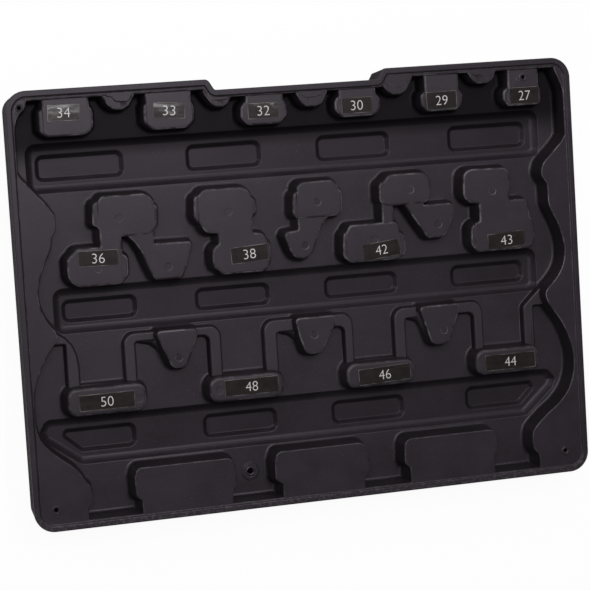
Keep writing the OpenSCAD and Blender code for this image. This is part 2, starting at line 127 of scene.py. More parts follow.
NOTCH_X0, NOTCH_X1, NOTCH_Y, NOTCH_SLOPE = 131.5, 238.5, 264.2, 4.0
CORNER_R = 13.0
TRAY_CORNERS = [
    (0, 0, CORNER_R), (TRAY_W, 0, CORNER_R), (TRAY_W, TRAY_H, CORNER_R),
    (NOTCH_X1 + NOTCH_SLOPE, TRAY_H, 4), (NOTCH_X1, NOTCH_Y, 2),
    (NOTCH_X0, NOTCH_Y, 2), (NOTCH_X0 - NOTCH_SLOPE, TRAY_H, 4), (0, TRAY_H, CORNER_R),
]
WELL = rounded([
    (5, 5, 7), (365, 5, 7), (365, 265, 7), (245.5, 265, 2.5), (242, 259.6, 2),
    (128, 259.6, 2), (124.5, 265, 2.5), (5, 265, 7),
])


def tray_outline(inset, steps=12):
    """The panel's outline, moved in; every inset gives as many points, with their normals."""
    n = len(TRAY_CORNERS)
    moved = []
    for i in range(n):
        a, b, c = (np.array(TRAY_CORNERS[k % n]) for k in (i - 1, i, i + 1))
        u, v = b[:2] - a[:2], c[:2] - b[:2]
        u, v = u / np.hypot(*u), v / np.hypot(*v)
        m = (np.array([u[1], -u[0]]) + np.array([v[1], -v[0]])) / (1 + u @ v)
        turn = 1 if u[0] * v[1] - u[1] * v[0] >= 0 else -1
        moved.append((*(b[:2] - m * inset), max(b[2] - turn * inset, 0.05)))
    points = []
    for i in range(n):
        points += arc(moved[i - 1], moved[i], moved[(i + 1) % n], steps)
    points = np.array(points)
    along = np.roll(points, -1, 0) - np.roll(points, 1, 0)
    out = np.column_stack([along[:, 1], -along[:, 0]])
    return points, out / np.hypot(out[:, 0], out[:, 1])[:, None]


LEFT_EDGE = [
    (13.5, 290), (13.5, 265), (12, 259.5), (8, 257), (6, 252), (4.5, 245), (3.5, 238), (3.2, 230),
    (4, 224), (6, 219), (11, 213), (16, 207), (20, 202.6), (22.8, 199), (24.6, 195.6), (25.9, 193.6),
    (26, 186.4), (24.2, 183), (22.8, 181), (22.6, 176), (20.5, 171), (17.8, 166), (14.8, 159),
    (12.8, 152), (12, 146), (12.5, 141), (14, 135), (17, 129), (21.5, 124), (22.5, 118), (18.5, 114),
    (14, 107), (10, 100), (7, 92), (5.2, 85), (4.5, 78), (4.3, 72), (5, 65.5), (6.2, 61), (8, 56.8),
    (11, 52.6), (15.3, 48.2), (20, 44.3), (25, 40.4), (28.5, 37.3), (31, 34), (33, 30.6), (34.2, 28.2),
    (36.4, 26.6), (37, 23), (37, 17.5), (36.2, 14), (34.2, 12.4), (34.1, 5), (34.1, -20),
]
RIGHT_EDGE = [
    (358.8, 290), (358.9, 265), (361.3, 259.5), (363.6, 254), (365.4, 248), (366.5, 241),
    (367, 235), (366.9, 228), (365.7, 222.4), (362.5, 217), (357.2, 211.6), (351.4, 206.4), (347.8, 202.2),
    (346.8, 197), (348.4, 193.4), (350.8, 190.6), (351, 184), (351, 177), (353, 172), (357, 164),
    (360, 154), (361, 147), (360, 138.5), (357, 132), (352, 126), (347, 121.8), (345.6, 118),
    (347.4, 112.5), (351, 107), (356, 100), (359.5, 92.5), (362, 85), (363.5, 78), (363.5, 71),
    (362.5, 64), (360, 57), (356, 51), (350, 45), (344, 41), (338, 35.8), (334.4, 32.4), (331.7, 29),
    (331.4, 20), (333, 16.4), (335.8, 14), (336, 5), (336, -20),
]
BOTTOM_PADS = [
    [(68.5, -20, 0), (127, -20, 0), (127, 13.5), (129.5, 16, 2.5), (129.4, 28, 5), (127, 34, 5),
     (66.5, 34, 7), (64.4, 28, 4), (64.9, 16, 2.5), (68.5, 13)],
    [(160, -20, 0), (215, -20, 0), (215, 13), (218.2, 16.5, 2.5), (217.6, 28, 5), (214.5, 34.5, 5),
     (157.5, 34.5, 8), (155.5, 28, 3), (155.5, 16.5, 2.5), (160, 13.5)],
    [(246, -20, 0), (304.5, -20, 0), (304.3, 14), (306.2, 22, 3), (305.8, 33.6, 5),
     (243, 33.6, 5), (242.4, 18, 3), (246, 14.6)],
]


PAD_SOFT = 3.5
TOP_PADS = [rounded(p, soften=PAD_SOFT) for p in (
    # size 34, and so on to the right
    [(25.2, 242, 2.5), (49.2, 242, 2), (53.1, 245.3), (54.3, 246.6), (54.3, 256.8),
     (52.2, 259.2, 0.8), (51.8, 285, 0), (23.3, 285, 0), (23.3, 259.4, 0.8), (20.9, 257.8),
     (20.9, 246), (22, 244.6)],
    [(91.6, 242, 2.5), (113.2, 242, 2), (116.8, 245.2), (118.2, 246.6), (118.2, 256),
     (116.6, 258.4, 0.8), (116.5, 285, 0), (87.8, 285, 0), (87.8, 258.4, 0.8), (86.4, 256.8),
     (86.4, 247), (87.6, 245.4)],
    [(152.4, 240.9), (172.8, 240.9, 2), (175, 243), (178.3, 246), (178.3, 253.2, 2),
     (175.9, 256, 1), (175.9, 285, 0), (151.9, 285, 0), (151.9, 256, 0.8), (148.4, 252.8, 2),
     (148.3, 245.2)],
    [(214.8, 241.9), (236, 241.9, 2), (240.2, 245.4, 2), (240.3, 252.4, 2.5), (237.3, 255.4, 1),
     (237.3, 285, 0), (212.9, 285, 0), (212.9, 255.4, 0.8), (210.2, 252.6, 2), (210.2, 245.6, 2)],
    [(272, 241.8, 1.2), (292, 241.8, 1.4), (296.2, 245.4, 2), (296.4, 252.2, 2.5), (293.7, 255, 1),
     (293.7, 285, 0), (270.7, 285, 0), (270.7, 254.8, 0.8), (267.9, 252.4, 2), (267.9, 245.4, 2)],
    [(327.8, 241.7, 1.4), (348, 241.7, 1.4), (350, 243.8, 1.4), (350.2, 251, 1.4), (348.8, 253.6, 0.8),
     (348.8, 285, 0), (327.7, 285, 0), (327.7, 253.8, 0.8), (324.3, 251.2, 2), (324.3, 245.2, 2)],
)]
TABS = [rounded(p) for p in (
    [(67.4, 256.3, 3), (73, 256, 3), (77.2, 258.6, 3), (81, 265, 1), (81, 285, 0), (60.2, 285, 0),
     (60.2, 265, 1), (63.8, 259, 3)],
    [(132.6, 253.7, 3), (137, 253.7, 3), (139.8, 255.8, 3), (143.4, 261, 1), (143.4, 285, 0),
     (124, 285, 0), (124.4, 262.6, 1), (129.6, 255.6, 3)],
    [(190.6, 250.4, 3), (197.2, 250, 3), (200.8, 251.6, 3), (205, 258.6, 1), (205, 285, 0),
     (184.4, 285, 0), (184.4, 259, 1), (187.8, 252.4, 3)],
    [(249, 254.1, 3), (254.4, 254.1, 3), (257.3, 255.8, 3), (262.2, 264, 1), (262.2, 285, 0),
     (241.6, 285, 0), (242.6, 259.4, 1), (245.8, 255.8, 3)],
    [(306.6, 257.6, 3), (314, 257.6, 3), (317.2, 260, 3), (319.4, 265, 1), (319.4, 285, 0),
     (300.2, 285, 0), (300.2, 264.6, 1), (303.6, 259.2, 3)],
)]
# The deck runs on over each tab and ends in a wavy step
TAB_STEPS = [rounded(p) for p in (
    [(68.6, 261.4), (71.2, 261, 2), (76.4, 261), (79.4, 265.4, 1), (79.4, 285, 0), (63, 285, 0),
     (63, 265, 1), (66.8, 264)],
    [(130, 258.4, 1), (135, 257.9, 3), (139.4, 258.4, 1), (141, 261, 1), (141, 285, 0), (126, 285, 0),
     (127, 262, 1)],
    [(191.4, 256.2, 3), (197, 256.1, 3), (201.4, 257.4, 3), (203.8, 260, 1), (203.8, 285, 0),
     (185.6, 285, 0), (185.6, 259.8, 1), (188, 257.6, 3)],
    [(248.6, 259.9, 2), (253, 258.9, 2), (256.4, 259, 2), (260.8, 265, 1), (260.8, 285, 0), (244, 285, 0),
     (244, 262.6, 1)],
    [(304.4, 263.2), (315.4, 263.2), (316.8, 266, 1), (316.8, 285, 0), (302, 285, 0),
     (302, 265.4, 1)],
)]
MIDDLE_PADS = [rounded(p, soften=PAD_SOFT) for p in (
    # size 36
    [(37, 149, 3), (64.6, 149, 2.5), (67.4, 152, 1), (69.9, 154.2, 2), (70.1, 165.3),
     (66.7, 167.6, 1), (66.6, 178.1, 1.2), (85, 178.1, 2), (88.2, 181.6, 1), (90.4, 183.4),
     (90.8, 194.6), (88.8, 196.6, 1), (88.4, 199), (84, 203.6, 2.5), (55.8, 203.8, 2),
     (53.8, 200.9, 1), (50.2, 199.6), (49.5, 186.3), (52.6, 184.8, 1), (53.5, 183, 1),
     (53.5, 172.7, 1), (38, 172.7, 2.5), (35, 169.2, 1), (31.9, 166.4, 2), (31.9, 154.4, 3)],
    # size 38
    [(130, 149.2, 2.5), (156.6, 149.1, 2.5), (159.4, 151.1), (161.9, 154), (162.2, 166),
     (160.4, 168.2, 1), (159.1, 171.1), (157, 173.2), (151.2, 173.9, 1), (151.2, 181, 1),
     (152, 184.4, 0.8), (154.3, 185.8, 1.2), (154.6, 193.6), (151.8, 195.6, 1), (150.6, 199, 2),
     (146.6, 202.9, 2), (120.4, 203.2, 2), (117.4, 199.8, 1.2), (114.7, 198.4), (113.9, 187, 2.5),
     (115.3, 183.7), (118, 181.4, 1), (119.8, 177.6), (122.6, 175.4, 2), (128.6, 175.2, 1),
     (128.6, 168.4, 1), (126, 167.2), (124.2, 164.5, 2), (124.1, 156.8, 2), (125.4, 153.2, 1),
     (128, 151.8, 1)],
    # between the two halves
    [(180.4, 180.2), (208, 180.2, 2), (210.9, 183.2), (211.3, 195.2), (208.8, 197, 1),
     (208.2, 200.2), (205, 203.1), (184.4, 203.1), (181.6, 200.4), (181.4, 197.2, 0.8),
     (178.8, 195.2), (178.1, 183.4)],
    # size 42, its upper and its lower half
    [(240, 183.9), (266.6, 183.8, 2.5), (269.9, 186.4), (271.1, 189, 2), (271, 198.8, 2),
     (268.9, 201.3), (266, 203.5, 2), (243, 203.5), (239.5, 199.8, 1.2), (236.5, 198),
     (236.2, 188, 2), (237.4, 185.6)],
    [(214.8, 149.5, 2.5), (246.3, 149.2, 2.5), (248.6, 151.4, 1), (250.8, 152, 1), (252, 154.5),
     (252, 164), (248.3, 166.5, 1), (248.2, 171.3), (245.8, 173.5), (215, 173.4, 2),
     (213, 169.9, 1.2), (210.6, 167.7), (209.8, 155.2, 2.5), (211.2, 152.4)],
    # size 43
    [(301, 149.3, 2.5), (336.6, 149.2, 2.5), (339.4, 150.9), (341.1, 153.4), (341.4, 166),
     (338, 169.4, 1), (337.6, 179), (335.3, 181.3), (324.5, 181.6, 1), (324.4, 188.4, 1.2),
     (325.2, 189.8, 0.8), (327.2, 190.8, 1), (327.4, 193.6, 1), (325.4, 195, 1), (325.2, 199.4, 2),
     (322.4, 202.6, 2), (298, 203.1, 3.5), (293.6, 200, 2.5), (293, 187, 3), (294.4, 184),
     (298, 181, 2), (303.5, 180.6, 1), (303.5, 169.2, 1), (300, 168), (297.5, 165.4),
     (297.1, 155.4, 2), (298.4, 152.4, 1)],
)]
LONG_PADS = [
    box(26.3, 69.5, 75.9, 86.8, 6), box(116.9, 69.3, 164.9, 85.1, 6),
    box(207.5, 69.3, 252.8, 85.1, 6), box(295.6, 69.3, 339.3, 85.5, 6),
]
WEDGES = [rounded(p) for p in (
    [(87.6, 149.5, 1.2), (103, 149.5, 2), (104.9, 150.8), (111.4, 169.4), (110.2, 171.8, 1.2),
     (87.6, 172.2, 0.6), (87.6, 182, 0), (70.5, 182, 0), (70.5, 178.6, 1), (75.3, 174, 3), (79.2, 167.6, 6),
     (82.8, 157.6, 8), (86, 150.8)],
    [(180.4, 155, 2.5), (184, 154.6, 3), (187.2, 155.9, 2), (190.3, 159.2, 2), (195.5, 173.3, 3),
     (201.6, 180.4, 1), (201.6, 184, 0), (181.2, 184, 0), (181.2, 173.2, 1), (173, 172.2, 1.2),
     (171.8, 169.8), (175.1, 160.4, 3), (177.3, 156.8, 2)],
    [(268.6, 160.9, 2.5), (277.8, 161.1, 2.5), (280.4, 163.4, 2), (287.6, 178.6, 2), (286.2, 181.1),
     (283.9, 182.5, 1.2), (265.8, 182.5, 0.4), (265.8, 187, 0), (252.8, 187, 0), (252.8, 184, 0.5),
     (266.4, 162.9, 2)],
    [(237.5, 170, 0), (245, 170, 0), (245, 187, 0), (237.5, 187, 0)],
    [(94.2, 93.3, 5), (102.8, 93.3, 5), (113.0, 117.4, 3), (84.1, 117.5, 2.5)],
    [(181.4, 94, 5), (191.4, 94, 5), (202.6, 113, 3), (201.8, 117.5, 3), (175.3, 117.5, 2.5),
     (177.6, 106, 6)],
    [(266.6, 92, 5), (277.4, 92, 5), (288, 117.5, 3), (258.8, 117.5, 2.5)],
)]
# Ears of the pads, a step lower than their tops: x where one starts, y from, y to, which way
EARS = [
    (23.2, 245, 259.2, -1), (52.4, 245, 259.2, 1), (88.0, 245.4, 258.4, -1), (116.8, 245, 258.4, 1),
    (151.4, 244.4, 256, -1), (175.9, 243.6, 256, 1), (212.7, 245, 255.4, -1), (237.4, 244.6, 255.4, 1),
    (270.5, 245, 254.8, -1), (293.8, 244.8, 255, 1), (327.4, 244.8, 253.8, -1),
    (53.2, 184.8, 200.8, -1), (88.8, 181.8, 196.6, 1), (65.8, 151.8, 167.4, 1),
    (116.8, 182.6, 199.8, -1), (152, 184.4, 195.6, 1), (160, 151.4, 168.6, 1),
    (181, 180.6, 197, -1), (208.9, 182.8, 197, 1), (238.8, 185.4, 199.8, -1), (269.2, 186.2, 201.2, 1),
    (212.3, 152.6, 169.4, -1), (248.4, 151.4, 166.5, 1),
    (299.9, 152.6, 168, -1), (338.8, 151, 169, 1), (325.4, 190, 195, 1),
]
EAR_DROP, EAR_STEP, EAR_W = 0.75, 0.45, 8
# Below the pads' tops the step of an ear fades out, down to this depth
EAR_FADE, EAR_LOW = 7, 8


def arch(x0, x1, y1, x2, x3, y2):
    """Rib that runs up from one pad, across and down to the next."""
    return [
        (x0, 76, 0), (x2, 76, 0), (x2, y2, 1.6), (x3, y2, 4), (x3, 76, 0), (x1, 76, 0),
        (x1, y1, 7), (x0, y1, 7),
    ]


RIBS = [rounded(p) for p in (
    arch(65.5, 127.9, 117, 72.6, 120.4, 111.5), arch(156.3, 215.5, 117, 164.7, 209.9, 109),
    arch(243.6, 304.5, 117, 251.2, 298.5, 110),
    [(28.8, 76, 0), (36.4, 76, 0), (36.3, 100, 12), (35.2, 107, 6), (33, 112.6, 6), (28.8, 117.6, 5),
     (23, 121.5, 1), (15, 121.5, 0), (15, 114, 0), (28.8, 114, 1.2)],
    [(333.2, 76, 0), (340.3, 76, 0), (340.3, 110.5, 1), (347, 110.5, 1), (352, 112, 0), (352, 122, 0),
     (345.6, 122, 1), (333.2, 110.6, 5)],
)]
# What fills the corners beside the three-sided pads
FILLS = [rounded(p) for p in (
    [(92.5, 98, 1), (96, 98, 0), (96, 113, 0), (77, 113, 0), (77, 111.5, 0), (83, 110.2, 5),
     (87.6, 106.4, 6)],
    [(181.6, 98.5, 1), (186, 98.5, 0), (186, 111, 0), (169, 111, 0), (169, 109, 0), (174.2, 107.4, 5),
     (178.2, 103, 6)],
    [(265.4, 98, 1), (270, 98, 0), (270, 112, 0), (255.4, 112, 0), (255.4, 110, 0), (259.8, 108.6, 5),
     (262.6, 103.8, 6)],
)]
TROUGHS = [
    box(12.9, 207.3, 352, 237.9, 6.5), box(23.7, 119.8, 345.9, 148, 6.5),
    rounded([(34.9, 37.7, 7), (333.8, 37.9, 7), (352.8, 54.6, 3), (355.6, 60.5, 2.5), (350, 67.5, 6),
             (14, 67.5, 6), (9.6, 60.5, 2.5), (12.6, 54, 3)]),
]
POCKETS = [
    *(box(a, 214.2, b, 230.9, 5) for a, b in ((19.2, 75), (115, 164.1), (200.6, 250.2), (290.2, 343.8))),
    *(box(a, 126.2, b, 140.7, 5) for a, b in ((29.5, 77.6), (115, 164.1), (200.6, 250.2), (287.1, 337.7))),
    rounded([(36, 45, 4), (71.5, 45, 5), (71.5, 60.4, 5), (26, 60.4, 3), (23.8, 55.8, 3)]),
    box(115, 45, 164.1, 60.4, 5), box(200.6, 45, 250.2, 60.4, 5),
    rounded([(292.7, 45, 5), (331, 45, 4), (341.6, 55, 3), (339.5, 60.4, 3), (292.7, 60.4, 5)]),
]
# Round marks that the vents of the mould left, a little sunk; some are slotted
VENTS = [
    (66, 189.5), (51, 159.5), (231, 163), (95.5, 157), (136, 188), (194.5, 190), (185, 163), (257, 193),
    (313, 188), (275, 169.5), (98.5, 100), (187.5, 106), (275, 101), (71, 77), (123, 77),
]
SLOTTED = [(194.5, 190), (185, 163), (98.5, 100), (275, 101)]
FAINT = [(71, 77), (123, 77), (66, 189.5), (136, 188)]
VENT_R, VENT_W, VENT_H, SLOT_H, SLOT_PITCH = 2.4, 0.3, 0.18, 0.08, 1.5
DIAGONAL = 0.7071
BLOW_HOLE, BLOW_RING_R, BLOW_R = (142.9, 21.8), 5.5, 1.9


def ragged(x, y, r, seed, spread=0.16):
    """Outline of a small torn hole."""
    rng = random.Random(seed)
    t = [2 * math.pi * k / 20 for k in range(20)]
    return np.array([
        (x + r * (1 + rng.uniform(-spread, spread)) * math.cos(a),
         y + r * (1 + rng.uniform(-spread, spread)) * math.sin(a)) for a in t
    ])


HOLES = [ragged(8.8, 260.7, 1.3, 3), ragged(13.9, 13.5, 1.5, 8), ragged(354.2, 14.3, 1.25, 9),
         ragged(338.3, 259.7, 1.3, 5), ragged(*BLOW_HOLE, BLOW_R, 6)]
HOLE_DEPTH, HOLE_SIDE = 13.0, 0.3
# Burrs round the holes: centre, radius, width, height, how uneven, turn
BURRS = [
    (8.8, 260.7, 2.0, 0.45, 0.5, 0.6, 0.5), (6.9, 258.6, 0.9, 0.35, 0.35, 0.5, 2.0),
    (11.1, 259.4, 0.8, 0.3, 0.35, 0.5, 4.0), (13.9, 13.5, 2.1, 0.4, 0.12, 0.5, 2.2),
    (354.2, 14.3, 2.0, 0.45, 0.28, 0.4, 2.6), (338.3, 259.7, 1.95, 0.4, 0.4, 0.6, 1.0),
    (334.8, 258.2, 1.0, 0.3, 0.25, 0.5, 3.0), (142.9, 21.8, 2.5, 0.4, 0.3, 0.8, 1.3),
    (142.9, 21.8, 4.2, 0.35, 0.14, 1.0, 4.0),
]


# Height of the front at any point


def distance(poly, x, y):
    """Signed distance to a closed outline, positive outside, and the outward direction."""
    best = np.full(x.shape, 1e9)
    dx, dy = np.zeros(x.shape), np.zeros(x.shape)
    sx, sy = np.zeros(x.shape), np.zeros(x.shape)
    inside = np.zeros(x.shape, bool)
    for a, b in zip(poly, np.roll(poly, -1, 0)):
        ex, ey = b - a
        px, py = x - a[0], y - a[1]
        t = np.clip((px * ex + py * ey) / (ex * ex + ey * ey), 0, 1)
        qx, qy = px - t * ex, py - t * ey
        d = qx * qx + qy * qy
        near = d < best
        best[near] = d[near]
        dx[near], dy[near] = qx[near], qy[near]
        length = math.hypot(ex, ey)
        sx[near], sy[near] = ey / length, -ex / length
        if ey != 0:
            crosses = (a[1] <= y) != (b[1] <= y)
            inside ^= crosses & (px < py * ex / ey)
    best = np.sqrt(best)
    sign = np.where(inside, -1.0, 1.0)
    flat = best < 1e-7
    size = np.where(flat, 1.0, best)
    nx = np.where(flat, sx, sign * dx / size)
    ny = np.where(flat, sy, sign * dy / size)
    return sign * best, nx, ny


def profile(s, k, top, floor, edge_r, foot_r):
    """Height at distance s outside an edge whose wall leans by k, and its slopes with s and floor:
    rounded edge, drafted wall, rounded foot, and beyond it nothing."""
    wall = np.arctan(k)
    sin, cos = np.sin(wall), np.cos(wall)
    tangent = np.tan(math.pi / 4 - wall / 2)
    t1, t2 = edge_r * tangent, foot_r * tangent
    s1 = edge_r * cos - t1
    s3 = (top - floor) * k + t2
    s2 = s3 - foot_r * cos
    z = np.full(s.shape, top, float)
    slope, with_floor = np.zeros(s.shape), np.zeros(s.shape)
    m = (s > -t1) & (s <= s1)
    root = np.sqrt(np.maximum(edge_r ** 2 - (s + t1) ** 2, 1e-12))
    z = np.where(m, top - edge_r + root, z)
    slope = np.where(m, -(s + t1) / root, slope)
    m = (s > s1) & (s <= s2)
    z = np.where(m, top - s / k, z)
    slope = np.where(m, -1 / k, slope)
    m = (s > s2) & (s <= s3)
    root = np.sqrt(np.maximum(foot_r ** 2 - (s3 - s) ** 2, 1e-12))
    z = np.where(m, floor + foot_r - root, z)
    slope = np.where(m, -(s3 - s) / root, slope)
    with_floor = np.where(m, 1 - k * (s3 - s) / root, with_floor)
    z = np.where(s > s3, -99.0, z)
    return z, slope, with_floor


def reach(drop, k, edge_r):
    """How far outside its edge a shape's side is at this depth below the top."""
    wall = np.arctan(k)
    start = edge_r * np.tan(math.pi / 4 - wall / 2)
    curve = np.sqrt(np.maximum(edge_r ** 2 - np.maximum(edge_r - drop, 0) ** 2, 0)) - start
    return np.where(drop < edge_r * (1 - np.sin(wall)), curve, drop * k)


# How far outside its outline a shape's sides can reach
MARGIN = 6.0


class Feature:
    """Raised shape of the relief: an outline, its top, and how its walls lean to each side.
    Without a floor of its own it stands on whatever the floor is there."""

    def __init__(self, poly, top, lean, edge_r=EDGE_R, foot_r=FOOT_R, floor=None, outside=False):
        self.poly, self.top, self.lean = poly, top, lean
        self.edge_r, self.foot_r, self.floor, self.outside = edge_r, foot_r, floor, outside
        self.low, self.high = poly.min(0) - MARGIN, poly.max(0) + MARGIN

    def near(self, x, y):
        if self.outside:
            return np.ones(x.shape, bool)
        return (x > self.low[0]) & (x < self.high[0]) & (y > self.low[1]) & (y < self.high[1])

    def distance(self, x, y):
        s, nx, ny = distance(self.poly, x, y)
        return (-s, -nx, -ny) if self.outside else (s, nx, ny)

    def height(self, x, y, base):
        s, nx, ny = self.distance(x, y)
        k = self.lean[0] * nx * nx + self.lean[1] * ny * ny
        floor = base[0] if self.floor is None else self.floor
        z, slope, with_floor = profile(s, k, self.top, floor, self.edge_r, self.foot_r)
        if self.floor is not None:
            with_floor = with_floor * 0
        return z, slope * nx + with_floor * base[1], slope * ny + with_floor * base[2]


def draft(degrees_x, degrees_y):
    return math.tan(math.radians(degrees_x)), math.tan(math.radians(degrees_y))


def edge_polygon(line, x_far):
    """Closed anticlockwise outline between a wavy edge and a far line."""
    p = smooth(line)
    poly = np.vstack([p, [(x_far, p[-1][1]), (x_far, p[0][1])]])
    area = np.sum(poly[:, 0] * np.roll(poly[:, 1], -1) - poly[:, 1] * np.roll(poly[:, 0], -1))
    return poly if area > 0 else poly[::-1]


RIM_INNER = tray_outline(RIM_W)[0]
DECK_DRAFT, PAD_DRAFT, WEDGE_DRAFT, RIB_DRAFT = draft(7, 7.5), draft(9, 5.5), draft(9, 6), draft(8, 8)
PAD_EDGE_R, LONG_EDGE_R, WEDGE_EDGE_R, RIB_EDGE_R = 1.5, 2.2, 1.4, 1.3
CLASSES = {
    "rim": [Feature(RIM_INNER, Z_RIM, draft(45, 45), 0.8, 0.8, Z_DECK, outside=True)],
    "deck": [Feature(WELL, Z_DECK, DECK_DRAFT, outside=True),
             Feature(edge_polygon(LEFT_EDGE, -20), Z_DECK, DECK_DRAFT),
             Feature(edge_polygon(RIGHT_EDGE, TRAY_W + 20), Z_DECK, DECK_DRAFT)]
            + [Feature(rounded(p), Z_DECK, DECK_DRAFT) for p in BOTTOM_PADS],
    "step": [Feature(p, Z_DECK, draft(35, 35), 0.3, 0.3, Z_TAB) for p in TAB_STEPS],
    "tab": [Feature(p, Z_TAB, draft(9, 7)) for p in TABS],
    "pad": [Feature(p, Z_PAD, PAD_DRAFT, PAD_EDGE_R) for p in TOP_PADS + MIDDLE_PADS],
    "long": [Feature(p, Z_PAD, PAD_DRAFT, LONG_EDGE_R) for p in LONG_PADS],
    "wedge": [Feature(p, Z_WEDGE, WEDGE_DRAFT, WEDGE_EDGE_R) for p in WEDGES],
    "rib": [Feature(p, Z_RIB, RIB_DRAFT, RIB_EDGE_R, 0.9) for p in RIBS],
    "fill": [Feature(p, Z_FILL, draft(20, 20), 3.0, 0.9) for p in FILLS],
    "ring": [Feature(ragged(*BLOW_HOLE, BLOW_RING_R, 12, 0.045), Z_FLOOR + 0.4, draft(50, 50), 0.3, 0.4)],
}
RAISED = [f for group in CLASSES.values() for f in group]


# The edges of troughs and pockets are eased over this distance on both sides
EASE = 0.4


def eased(d):
    """How far in, with the corner at the start eased over a short way."""
    return np.where(d > EASE, d, np.where(d < -EASE, 0.0, (d + EASE) ** 2 / (4 * EASE)))


def eased_slope(d):
    return np.clip((d + EASE) / (2 * EASE), 0, 1)


def base_height(x, y):
    """The floor with its troughs, their pockets and nothing that stands on it."""
    z = np.full(x.shape, Z_FLOOR)
    gx, gy = np.zeros(x.shape), np.zeros(x.shape)
    for shapes, depth, side, bowl in ((TROUGHS, TROUGH_D, TROUGH_SIDE, True),
                                      (POCKETS, POCKET_D, POCKET_SIDE, False)):
        for poly in shapes:
            low, high = poly.min(0) - EASE, poly.max(0) + EASE
            m = (x > low[0]) & (x < high[0]) & (y > low[1]) & (y < high[1])
            if not m.any():
                continue
            s, nx, ny = distance(poly, x[m], y[m])
            if bowl:
                u = np.minimum(eased(-s) / side, 1)
                fall, slope = 2 * u - u * u, (2 - 2 * u) / side * eased_slope(-s)
            else:
                fall = (eased(-s) - eased(-s - side)) / side
                slope = (eased_slope(-s) - eased_slope(-s - side)) / side
            z[m] -= depth * fall
            gx[m] += depth * slope * nx
            gy[m] += depth * slope * ny
    return z, gx, gy


def height(x, y, features=None, bare=False):
    """Height of the front and its gradient at arrays of points."""
    base = base_height(x, y)
    z, gx, gy = (b.copy() for b in base)
    for f in RAISED if features is None else features:
        m = f.near(x, y)
        if not m.any():
            continue
        fz, fx, fy = f.height(x[m], y[m], [b[m] for b in base])
        up = fz > z[m]
        index = np.flatnonzero(m)[up]
        z[index], gx[index], gy[index] = fz[up], fx[up], fy[up]
    if bare:
        return z, gx, gy
    for ex, low, high, way in EARS:
        m = (y > low) & (y < high) & (way * (x - ex) > -EAR_STEP) & (way * (x - ex) < EAR_W)
        t = np.clip((way * (x[m] - ex) + EAR_STEP / 2) / EAR_STEP, 0, 1)
        fade = np.clip((z[m] - Z_PAD + EAR_LOW) / EAR_FADE, 0, 1)
        z[m] -= EAR_DROP * fade * t * t * (3 - 2 * t)
        gx[m] -= EAR_DROP * fade * 6 * t * (1 - t) / EAR_STEP * way
    for vx, vy in VENTS:
        rx, ry = x - vx, y - vy
        r = np.hypot(rx, ry)
        m = (r < VENT_R + VENT_W) & (r > 0.05)
        t = np.clip((VENT_R + VENT_W - r[m]) / (2 * VENT_W), 0, 1)
        deep = VENT_H * (0.45 if (vx, vy) in FAINT else 1)
        z[m] -= deep * t * t * (3 - 2 * t)
        slope = deep * 6 * t * (1 - t) / (2 * VENT_W)
        gx[m] += slope * rx[m] / r[m]
        gy[m] += slope * ry[m] / r[m]
        if (vx, vy) in SLOTTED:
            m = r < VENT_R - VENT_W
            turn = 2 * math.pi / SLOT_PITCH
            wave = (rx[m] + ry[m]) * DIAGONAL * turn
            z[m] += SLOT_H * np.sin(wave)
            gx[m] += SLOT_H * np.cos(wave) * turn * DIAGONAL
            gy[m] += SLOT_H * np.cos(wave) * turn * DIAGONAL
    for bx, by, radius, width, rise, uneven, turn in BURRS:
        rx, ry = x - bx, y - by
        r = np.hypot(rx, ry)
        m = (r < radius + 3 * width) & (r > 0.1)
        around = np.arctan2(ry[m], rx[m])
        g = (r[m] - radius) / width
        lift = rise * np.exp(-g * g) * (1 - uneven * (0.5 + 0.5 * np.sin(2 * around + turn) *
                                                      np.cos(3 * around - turn)))
        z[m] += lift
        gx[m] += -2 * g / width * lift * rx[m] / r[m]
        gy[m] += -2 * g / width * lift * ry[m] / r[m]
    for poly in HOLES:
        low, high = poly.min(0), poly.max(0)
        m = (x > low[0]) & (x < high[0]) & (y > low[1]) & (y < high[1])
        if m.any():
            s, nx, ny = distance(poly, x[m], y[m])
            fall = np.clip(-s / HOLE_SIDE, 0, 1)
            z[m] -= HOLE_DEPTH * fall
            steep = (fall > 0) & (fall < 1)
            gx[m] += np.where(steep, HOLE_DEPTH / HOLE_SIDE * nx, 0)
            gy[m] += np.where(steep, HOLE_DEPTH / HOLE_SIDE * ny, 0)
    return z, gx, gy


# Lines along which the surface bends, traced on a grid


LOW = -1.0
GRID_COLUMNS, GRID_ROWS = np.meshgrid(
    np.arange(LOW, TRAY_W + 1.01, GRID), np.arange(LOW, TRAY_H + 1.01, GRID))
GRID_X, GRID_Y = GRID_COLUMNS.ravel(), GRID_ROWS.ravel()


